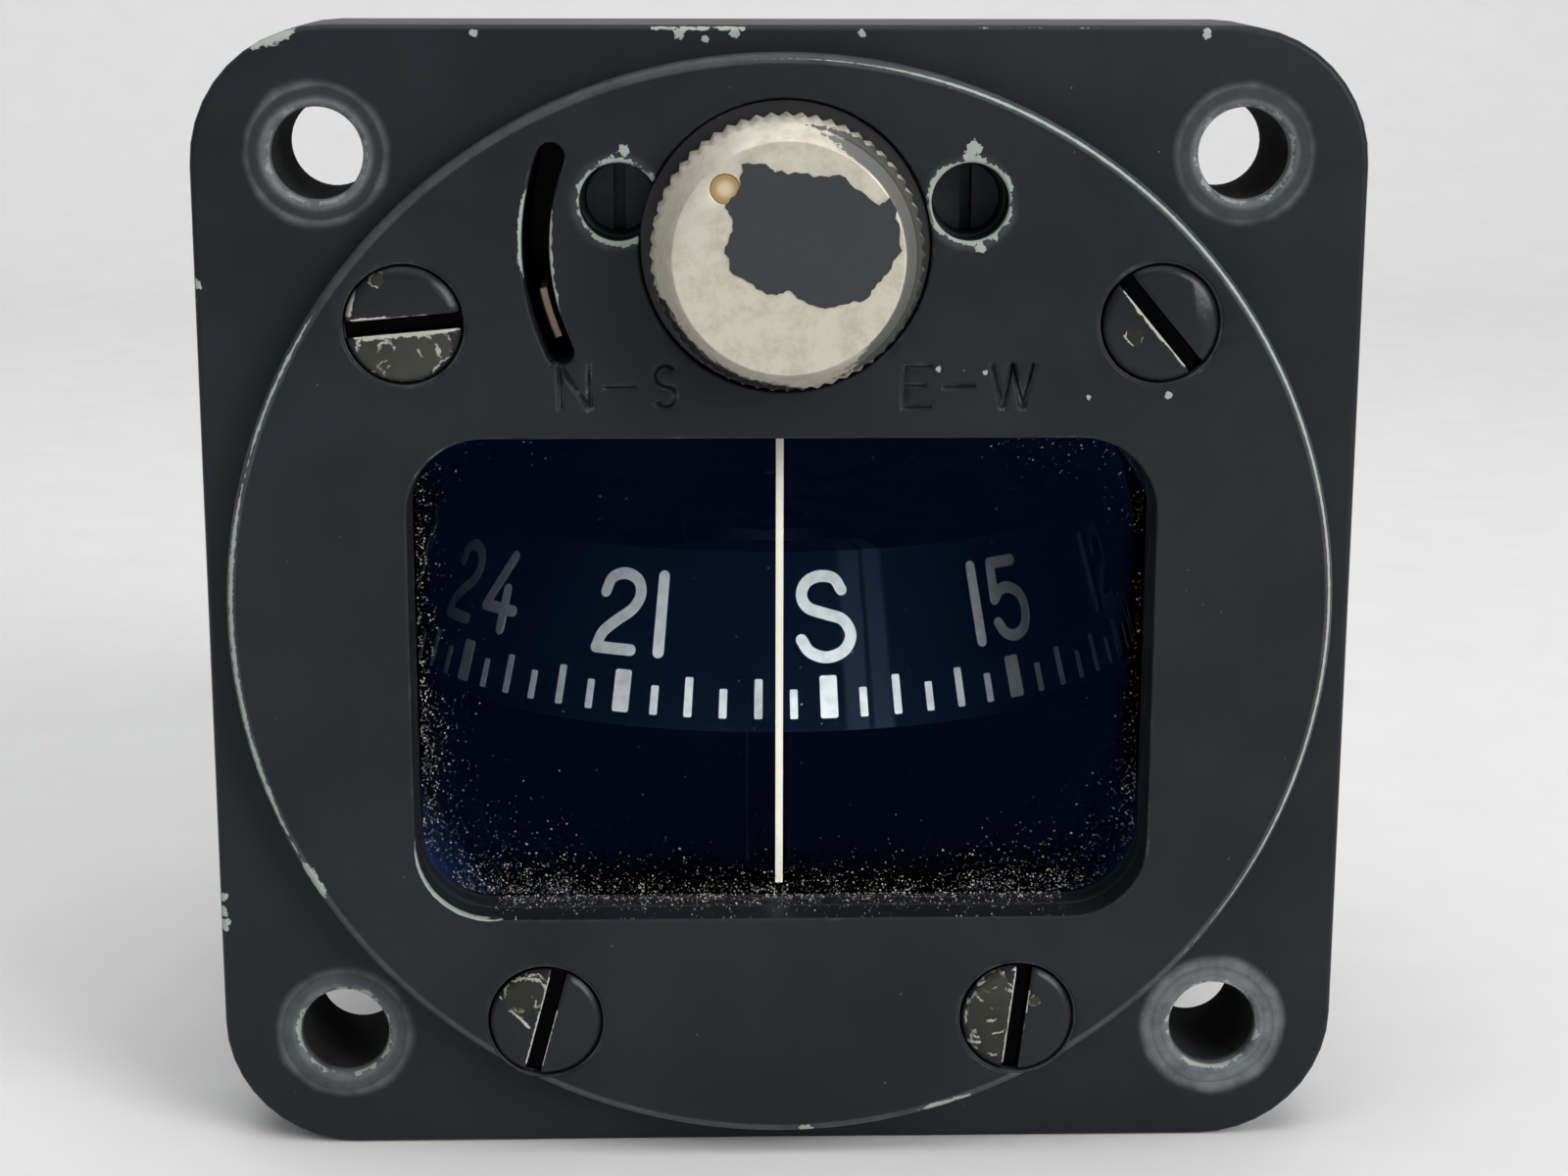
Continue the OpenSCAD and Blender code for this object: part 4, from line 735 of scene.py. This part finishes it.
def metal(name, dark, pale, rough, streak=(4, 4, 4), edge=0):
    """A bare metal: its tone drifts, and fine tool marks run along the axis that streak scales least."""
    made, tree, shader, place = material(name, Metallic=1)
    tone = use(tree, grain, Place=place, Size=2)
    marks = noise(tree, arrow(tree, "MULTIPLY", place, streak), 1, 4)
    shade = mix(tree, spread(tree, tone, 0.3, 0.7), dark, pale)
    paler_mask = use(tree, worn, Place=place, Width=0.1 * MM, Amount=edge)
    polished = [min(1, 1.25 * c) for c in pale[:3]] + [1]
    dye(tree, shader, paler_mask, shade, polished)
    gloss(tree, shader, marks, 0.25, rough - 0.1)
    emboss(tree, shader, marks, 0.2, 0.02)
    return made


brass = metal("brass", colour(150, 118, 62), colour(196, 162, 96), 0.32, edge=0.05)
copper = metal("copper", colour(150, 92, 62), colour(206, 142, 104), 0.34, (1, 8, 1))
steel = metal("steel", colour(120, 121, 122), colour(178, 179, 180), 0.3, (6, 6, 6))
dress("filler_plug", brass, 0.08)
dress("filler_washer", copper)

# Pivot: a steel stem in the bowl's floor, a brass holder with a ruby-coloured jewel cup, and the
# ball-tipped steel pin of the card standing in it.
dress("pivot_ball pivot_pin", steel)
dress("pivot_stem", metal("blued_steel", colour(12, 14, 20), colour(20, 23, 32), 0.5))
dress("jewel_holder", brass)
made, tree, shader, place = material("jewel", Transmission_Weight=0.6, IOR=1.76, Roughness=0.08)
tone = use(tree, grain, Place=place, Size=3)
dye(tree, shader, tone, colour(96, 10, 30), colour(150, 24, 52))
dress("jewel_cup", made)

# Card: a black light-alloy skirt on a spider, with a ring magnet hung under it on a bell. Its marks
# are printed in off-white: a stroke every five degrees, and numerals or letters every thirty.
made, tree, shader, place = material("card_black", Specular_IOR_Level=0)
tone, pebble = use(tree, grain, pick=slice(2), Place=place, Size=2.5)
x, y = put(tree, "SeparateXYZ", {0: arrow(tree, "SUBTRACT", place, pivot)}, pick=slice(2))
bearing = calc(tree, "ARCTAN2", x, times(tree, y, -1))
# The printed strip's two ends lap in a joint, a shade paler than the rest, with a dark crease in it.
lap_left, lap_right, crease = (math.radians(degrees) for degrees in (10.2, 17, 13.2))
lap_edge = 0.02
lap = times(tree, spread(tree, bearing, lap_left - lap_edge, lap_left),
            spread(tree, bearing, lap_right, lap_right - lap_edge))
fold = spread(tree, calc(tree, "ABSOLUTE", calc(tree, "SUBTRACT", bearing, crease)), 0.011, 0.003)
black = mix(tree, tone, colour(8, 14, 25), colour(13, 21, 34))
black = mix(tree, times(tree, lap, 0.85), black, colour(40, 48, 60))
dye(tree, shader, times(tree, fold, 0.7), black, colour(6, 10, 17))
gloss(tree, shader, tone, 0.2, 0.45)
emboss(tree, shader, pebble, 0.15, 0.02)
dress("compass_card card_spider", made)
magnet_steel = metal("magnet_steel", colour(64, 65, 68), colour(96, 97, 100), 0.45)
dress("magnet_bell", metal("light_alloy", colour(150, 152, 154), colour(190, 192, 194), 0.4))
dress("ring_magnet", magnet_steel)

skirt_low, skirt_high = (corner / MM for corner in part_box("compass_card"))
skirt_r = (skirt_high.x - skirt_low.x) / 2
skirt_slope = math.tan(math.radians(16.7))
lubber_heading = 187.18
mark_lift = 0.03
crossing_lift = 0.004
stroke = 0.62
mark_middle = 2.3
mark_points, mark_faces = [], []


def on_card(heading, up, lift):
    """The point of the card's skirt at a heading in degrees and a height in millimetres."""
    reach = skirt_r - skirt_slope * (up - skirt_low.z) + lift
    turn = math.radians(heading - lubber_heading)
    return (pivot.x - reach * math.sin(turn), pivot.y - reach * math.cos(turn), up)


def bar(line, widths, heading, base, lift):
    """Lays a printed stroke on the skirt, along a line of points right and up from a heading."""
    start = len(mark_points)
    middle_r = skirt_r - skirt_slope * (base + mark_middle - skirt_low.z)
    last = len(line) - 1
    for spot, (point, width) in enumerate(zip(line, widths)):
        ahead = line[min(spot + 1, last)] - line[max(spot - 1, 0)]
        side = Vector((-ahead.y, ahead.x)).normalized() * width / 2
        for edge in (point + side, point - side):
            angle = heading - math.degrees(edge.x / middle_r)
            mark_points.append(on_card(angle, base + edge.y, lift))
            mark_points.append(on_card(angle, base + edge.y, 0))
    for spot in range(last):
        here = start + 4 * spot
        for first, second in ((0, 2), (2, 3), (3, 1), (1, 0)):
            mark_faces.append((here + first, here + second, here + 4 + second, here + 4 + first))
    end = start + 4 * last
    mark_faces.append((start, start + 1, start + 3, start + 2))
    mark_faces.append((end, end + 2, end + 3, end + 1))


def curve(knots, steps=8):
    """A smooth line through given points."""
    ends = [2 * knots[0] - knots[1], *knots, 2 * knots[-1] - knots[-2]]
    line = []
    for a, b, c, d in zip(ends, ends[1:], ends[2:], ends[3:]):
        for step in range(steps):
            t = step / steps
            square = (2 * a - 5 * b + 4 * c - d) * t * t
            cube = (3 * b - a - 3 * c + d) * t ** 3
            line.append(0.5 * (2 * b + (c - a) * t + square + cube))
    return line + [knots[-1]]


def straight(start, end, steps=6):
    """A straight line in short lengths, so that it bends round the card."""
    return [start.lerp(end, step / steps) for step in range(steps + 1)]


def rounded_ends(line):
    """Adds round ends to a stroke, and returns its points and widths."""
    caps = [(0.98, 0.2), (0.85, 0.53), (0.6, 0.8), (0.3, 0.95)]
    first = (line[0] - line[1]).normalized() * stroke / 2
    last = (line[-1] - line[-2]).normalized() * stroke / 2
    points = [line[0] + first * far for far, wide in caps] + line
    points += [line[-1] + last * far for far, wide in reversed(caps)]
    tips = [stroke * wide for far, wide in caps]
    return points, tips + [stroke] * len(line) + tips[::-1]


# Each glyph is its width and its strokes. One of two points is straight, and a longer one is a curve.
tall = 4.05
glyphs = {
    "0": (2.4, [(1.2, tall), (0.35, 3.5), (0, 2), (0.35, 0.55), (1.2, 0), (2.05, 0.55), (2.4, 2),
                (2.05, 3.5), (1.2, tall)]),
    "1": (0, [(0, 0), (0, tall)]),
    "2": (2.4, [(0.2, 3), (0.5, 3.75), (1.3, tall), (2.1, 3.75), (2.35, 3), (1.95, 2.2), (1.05, 1.5),
                (0.3, 0.8), (0, 0)], [(0, 0), (2.05, 0)]),
    "3": (2.4, [(0.15, 3.4), (0.6, 3.95), (1.3, tall), (2, 3.6), (2, 2.75), (1.1, 2.3)],
          [(1.1, 2.3), (2.1, 1.95), (2.4, 1.1), (2, 0.25), (1.2, 0), (0.4, 0.25), (0, 0.85)]),
    "4": (2.4, [(1.75, tall), (0, 1.1)], [(0, 1.1), (2.4, 1.1)], [(1.65, 2.2), (1.65, 0)]),
    "5": (2.3, [(1.85, tall), (0.2, tall)], [(0.2, tall), (0.1, 2.1)],
          [(0.1, 2.1), (0.6, 2.55), (1.3, 2.6), (2.05, 2.15), (2.3, 1.3), (2, 0.4), (1.25, 0),
           (0.5, 0.2), (0.1, 0.8)]),
    "6": (2.3, [(1.9, 3.75), (1.2, tall), (0.4, 3.3), (0, 1.8), (0.3, 0.4), (1.15, 0), (2, 0.45),
                (2.3, 1.3), (1.8, 2.15), (0.95, 2.25), (0.15, 1.5)]),
    "E": (2, [(2, tall), (0, tall)], [(0, tall), (0, 0)], [(0, 0), (2, 0)],
          [(0, 2.1), (1.6, 2.1)]),
    "N": (2.5, [(0, 0), (0, tall)], [(0, tall), (2.5, 0)], [(2.5, 0), (2.5, tall)]),
    "S": (2.7, [(2.3, 3.45), (1.9, tall), (1.1, 4.2), (0.35, 3.9), (0.05, 3.2), (0.4, 2.55), (1.35, 2.2),
                (2.3, 1.85), (2.7, 1.05), (2.3, 0.25), (1.35, -0.1), (0.45, 0.2), (0, 0.85)]),
    "W": (3.6, [(0, tall), (0.9, 0)], [(0.9, 0), (1.8, tall)], [(1.8, tall), (2.7, 0)],
          [(2.7, 0), (3.6, tall)]),
}
numerals = "N 3 6 E 12 15 S 21 24 W 30 33".split()
numeral_step = 30
numeral_base = -4.3
letter_gap = 1.25
for number, text in enumerate(numerals):
    width = sum(glyphs[letter][0] for letter in text) + letter_gap * (len(text) - 1)
    left = -width / 2
    for letter in text:
        for order, knots in enumerate(glyphs[letter][1:]):
            knots = [Vector((left + x, y)) for x, y in knots]
            line = curve(knots) if len(knots) > 2 else straight(*knots)
            lift = mark_lift + crossing_lift * order
            bar(*rounded_ends(line), numeral_step * number, numeral_base, lift)
        left += glyphs[letter][0] + letter_gap

tick_base = -7.6
tick_step = 5
for heading in range(0, 360, tick_step):
    high, wide = 1.55, 0.42
    if heading % 10 == 0:
        high, wide = 2.1, 0.44
    if heading % numeral_step == 0:
        high, wide = 2.25, 0.95
    line = [Vector((0, high * share)) for share in (0, 0.04, 0.35, 0.65, 0.96, 1)]
    bar(line, [wide * share for share in (0.8, 1, 1, 1, 1, 0.8)], heading, tick_base, mark_lift)
made, tree, shader, place = material("printed_white")
tone = use(tree, grain, Place=place, Size=3)
blot = spread(tree, noise(tree, place, 1.4, 4), 0.3, 0.6)
dye(tree, shader, blot, colour(226, 227, 222), colour(248, 248, 242))
gloss(tree, shader, tone, 0.3, 0.5)
printed = solid("card_marks", mark_points, mark_faces, made)
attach(printed, "card")

# Fluid: the clear spirit that fills the bowl and damps the card. It is made to absorb as a smoky navy,
# so what lies deep in the bowl fades into the dark: a dark medium that stands in for the shade on the
# card's sides, which turn away from the window.
fluid_front = 4.37
throat_r = 21.9
throat_back = 13
barrel_r = 23.2
shoulder = 0.1
fluid_top = 8.85
fluid_sides = 96
bowl_steps = 16
tip_r = 0.01


def turned(profile, sides):
    """The points of a line of depths and radii turned about the bowl's axis."""
    turns = [2 * math.pi * side / sides for side in range(sides)]
    return [(pivot.x + reach * math.cos(turn), y, pivot.z + reach * math.sin(turn))
            for y, reach in profile for turn in turns]


fluid_profile = [(fluid_front, tip_r), (fluid_front, throat_r), (throat_back, throat_r),
                 (throat_back + shoulder, barrel_r)]
for step in range(1, bowl_steps + 1):
    turn = math.pi / 2 * step / bowl_steps
    fluid_profile.append((pivot.y + barrel_r * math.sin(turn), max(barrel_r * math.cos(turn), tip_r)))
points = [(x, y, min(z, fluid_top)) for x, y, z in turned(fluid_profile, fluid_sides)]
faces = lattice(len(fluid_profile), fluid_sides, ends=True)
made, tree, shader, place = material("dark_spirit", Transmission_Weight=1, IOR=1.01, Roughness=0)
cloud = noise(tree, place, 0.1, 2)
dye(tree, shader, cloud, (0.9, 0.93, 0.97, 1), (0.96, 0.98, 1, 1))
let_light_in(tree)
# Painted shade: the absorption darkens the card's sides and the depths of the bowl.
smoke_shade = put(tree, "VolumeAbsorption", {"Color": (0.25, 0.26, 0.27, 1), "Density": 86})
feed(tree, tree.nodes["Material Output"].inputs["Volume"], smoke_shade)
fluid = solid("damping_fluid", points, faces, made)
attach(fluid, "root")

# Light guide: a clear plastic block, cemented into the deck below the lamp. It lets the lamp shine down
# through the fluid onto the card.
made, tree, shader, place = material("clear_plastic", Transmission_Weight=0.95, IOR=1.3,
                                     Base_Color=(0.9, 0.92, 0.9, 1))
tone = use(tree, grain, Place=place, Size=1)
gloss(tree, shader, tone, 0.25, 0.05)
dress("light_guide", made)

# Correctors: a brass frame on the deck with two gear trains. Each key turns two crown wheels opposite
# ways, and each wheel carries a small bar magnet. An enamelled tin cover closes them in.
dress("bridge_pillars corrector_bridge post_spacers", brass)
dress("ns_pinion ns_upper_wheel ns_lower_wheel ew_pinion ew_upper_wheel ew_lower_wheel", brass)
dress("corrector_posts bridge_screws", steel)
dress("ns_upper_magnet ns_lower_magnet ew_upper_magnet ew_lower_magnet", magnet_steel)
dress("corrector_frame", metal("blackened_brass", colour(26, 25, 24), colour(44, 42, 39), 0.45))
dress("ns_spindle ew_spindle", metal("spindle_steel", colour(40, 42, 47), colour(62, 64, 70), 0.5))
dress("corrector_cover", enamel("cover_enamel", edge_wear=0.12), 0.15)
dress("cover_screws", steel, 0.06)

# Lamp: a knurled alloy cap whose black paint is worn away to the metal, with a brass pin in its face.
# It screws into a dark sleeve and carries a small bulb, which rests on a sprung contact.
lamp_at = Vector((lamp_x, 0, lamp_z))
cap_front = -7.5
rim_depth, flank_depth, knurl_depth = -6.9, -6.3, -5.95
pin_at = lamp_at + Vector((-3.1, 0, 3.4))
made, tree, shader, place = material("worn_alloy")
tone = use(tree, grain, Place=place, Size=2.2)
away = from_axis(tree, place, lamp_at)[2]
dirt = noise(tree, place, 0.8, 6, 0.7)
alloy = mix(tree, spread(tree, dirt, 0.3, 0.6), colour(178, 171, 153), colour(203, 197, 180))
shade_and_grime = times(tree, spread(tree, away, 6.6, 6.8), spread(tree, dirt, 0.6, 0.4))
alloy = mix(tree, times(tree, shade_and_grime, 0.5), alloy, colour(80, 80, 76))
# Old paint is left on the rim: black at the lower left and in the knurl on the right, where a rubbed
# grey film lies inside it.
left_over = sweep(tree, place, (lamp_at.x, flank_depth, lamp_at.z), 6.8, 236, 48, 0.6, 1.4)
in_knurl = sweep(tree, place, (lamp_at.x, knurl_depth, lamp_at.z), 6.45, 6, 78, 0.42, 1.6)
left_over = calc(tree, "MAXIMUM", left_over, times(tree, in_knurl, 0.85))
thin_film = sweep(tree, place, (lamp_at.x, rim_depth, lamp_at.z), 6.2, 6, 70, 0.8, 2)
alloy = mix(tree, times(tree, thin_film, 0.85), alloy, colour(84, 87, 88))
dye(tree, shader, left_over, alloy, colour(34, 35, 37))
feed(tree, shader["Metallic"], spread(tree, dirt, 0.2, 0.7, 0.2, 0.45))
gloss(tree, shader, tone, 0.25, 0.32)
emboss(tree, shader, calc(tree, "MULTIPLY_ADD", rings(tree, away, 9, 2), 0.5, dirt), 0.25, 0.03)
dress("lamp_cap", made, 0.06, 50)
dress("lamp_carrier bulb_base contact_plunger", brass)
made, tree, shader, place = material("pin_brass", Metallic=1)
tone = use(tree, grain, Place=place, Size=4)
# Painted highlight and shade: the flat face is painted paler in the middle and darker towards its edge, so
# that it looks domed.
edge_on = calc(tree, "MULTIPLY_ADD", tone, 0.3, from_axis(tree, place, pin_at)[2])
painted_dome_light = spread(tree, edge_on, 0.75, 0.3)
dye(tree, shader, painted_dome_light, colour(196, 164, 108), colour(246, 230, 192))
gloss(tree, shader, tone, 0.2, 0.25)
dress("cap_pin", made)

made, tree, shader, place = material("sleeve_black", Specular_IOR_Level=0.4)
tone = use(tree, grain, Place=place, Size=3)
bare = use(tree, worn, Place=place, Width=0.1 * MM, Amount=0.12)
black = mix(tree, tone, colour(20, 21, 22), colour(36, 37, 39))
dye(tree, shader, bare, black, colour(150, 152, 148))
gloss(tree, shader, tone, 0.25, 0.3)
dress("lamp_sleeve", made, 0.1)
bakelite = toned("bakelite", 1.5, colour(44, 26, 18), colour(70, 42, 28), (0.3, 0.3), Specular_IOR_Level=0.4)
dress("lamp_insulator", bakelite)
made, tree, shader, place = material("bulb_glass", Transmission_Weight=1, IOR=1.2,
                                     Base_Color=(0.95, 0.93, 0.88, 1))
tone = use(tree, grain, Place=place, Size=2)
feed(tree, shader["Roughness"], spread(tree, tone, 0.4, 0.9, 0, 0.2))
dress("bulb_glass", made)

# What is left of the cap's black paint: a ragged film in the middle of its face.
film_outline = [(-2.3, 4.6), (-1.1, 4.6), (-0.7, 4.2), (0.6, 4.15), (1.8, 4), (2.4, 4.1), (3.5, 3.3),
                (4.4, 2.6), (4.9, 3), (5.35, 1.7), (5.5, 0.4), (4.8, -0.7), (4.2, -1.4), (3.7, -2),
                (2.7, -2.2), (1.8, -2.4), (1, -2.2), (0.4, -1.9), (0, -1.5), (-0.6, -1.75),
                (-1.1, -1.7), (-2, -1.1), (-2.9, -0.5), (-3.1, 0.6), (-2.7, 1.4), (-2.8, 2.1),
                (-3.1, 2.6), (-2.5, 3.3)]
film_t = 0.05
film_sunk = 0.01
jag_steps = 4
jag_share = 0.09
ragged = []
torn = random.Random(3)
for (x, z), (next_x, next_z) in zip(film_outline, film_outline[1:] + film_outline[:1]):
    run, rise = next_x - x, next_z - z
    for step in range(jag_steps):
        share = step / jag_steps
        jag = torn.uniform(-jag_share, jag_share) if step else 0
        ragged.append((x + run * share + rise * jag, z + rise * share - run * jag))
film_depths = (cap_front - film_t, cap_front + film_sunk)
points = [(lamp_at.x + x, y, lamp_at.z + z) for y in film_depths for x, z in ragged]
cap_black = toned("cap_black", 3.5, colour(42, 43, 46), colour(53, 54, 58), (0.2, 0.5), 0.3, 0.03,
                  Specular_IOR_Level=0.35)
film = solid("cap_paint", points, lattice(len(film_depths), len(ragged), ends=True), cap_black)
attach(film, "cap")

# Wiring: two copper strips carry the lamp's current, one to the sleeve and one from the contact to a
# moulded terminal block with brass screws behind the cover.
dress("live_strip", copper)
made, tree, shader, place = material("copper_in_painted_shade", Metallic=0.5)
tone = use(tree, grain, Place=place, Size=3)
# Painted shade: the strip is painted dark all over but a thin pale band along the middle of the curved slot,
# where it shows through.
wavy = calc(tree, "MULTIPLY_ADD", tone, 0.25, from_axis(tree, place, lamp_at)[2])
aside = calc(tree, "ABSOLUTE", calc(tree, "SUBTRACT", wavy, slot_r + 0.1))
paler_mask = spread(tree, aside, 0.2, 0.12)
dye(tree, shader, paler_mask, colour(40, 30, 24), colour(206, 178, 150))
gloss(tree, shader, tone, 0.2, 0.35)
dress("earth_strip", made)
dress("terminal_block", bakelite, 0.15)
dress("terminal_screws", brass, 0.06)

# Bellows: a thin folded brass capsule behind the bowl that takes up the fluid's swelling, under an
# enamelled pressed cover held by three steel screws. Its folds are rolled in thin sheet, so they bend
# and open as the end plate moves.
capsule_low, capsule_high = (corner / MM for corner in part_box("bellows"))
foot_r = (capsule_high.x - capsule_low.x) / 2
foot_w = 0.4
foot_t = 0.5
fold_count = 4
fold_depth = 1.8
fold_steps = 16
sheet_t = 0.3
capsule_sides = 96
fold_start = capsule_low.y + foot_t
fold_run = capsule_high.y - 0.01 - fold_start
fold_points = fold_count * fold_steps
outer_line = []
for step in range(fold_points + 1):
    sunk = 0.5 + 0.5 * math.cos(2 * math.pi * step / fold_steps)
    depth = fold_start + fold_run * step / fold_points
    outer_line.append((depth, foot_r - foot_w - fold_depth * sunk))
inner_line = [(y, reach - sheet_t) for y, reach in reversed(outer_line)]
capsule_profile = [(capsule_low.y, foot_r), (fold_start, foot_r), *outer_line, *inner_line,
                   (capsule_low.y, foot_r - foot_w - fold_depth - sheet_t)]
folds = lattice(len(capsule_profile), capsule_sides)
capsule = solid("bellows_capsule", turned(capsule_profile, capsule_sides), folds, brass)
capsule.data.shade_smooth()
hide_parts("bellows")
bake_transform(capsule, "root", "bellows_end", start=(pivot.x * MM, fold_start * MM, pivot.z * MM),
         end=(pivot.x * MM, capsule_high.y * MM, pivot.z * MM))
dress("bellows_plate", brass)
dress("bellows_screws", steel, 0.06)
dress("bellows_cover", enamel("rear_enamel", edge_wear=0.12), 0.2)
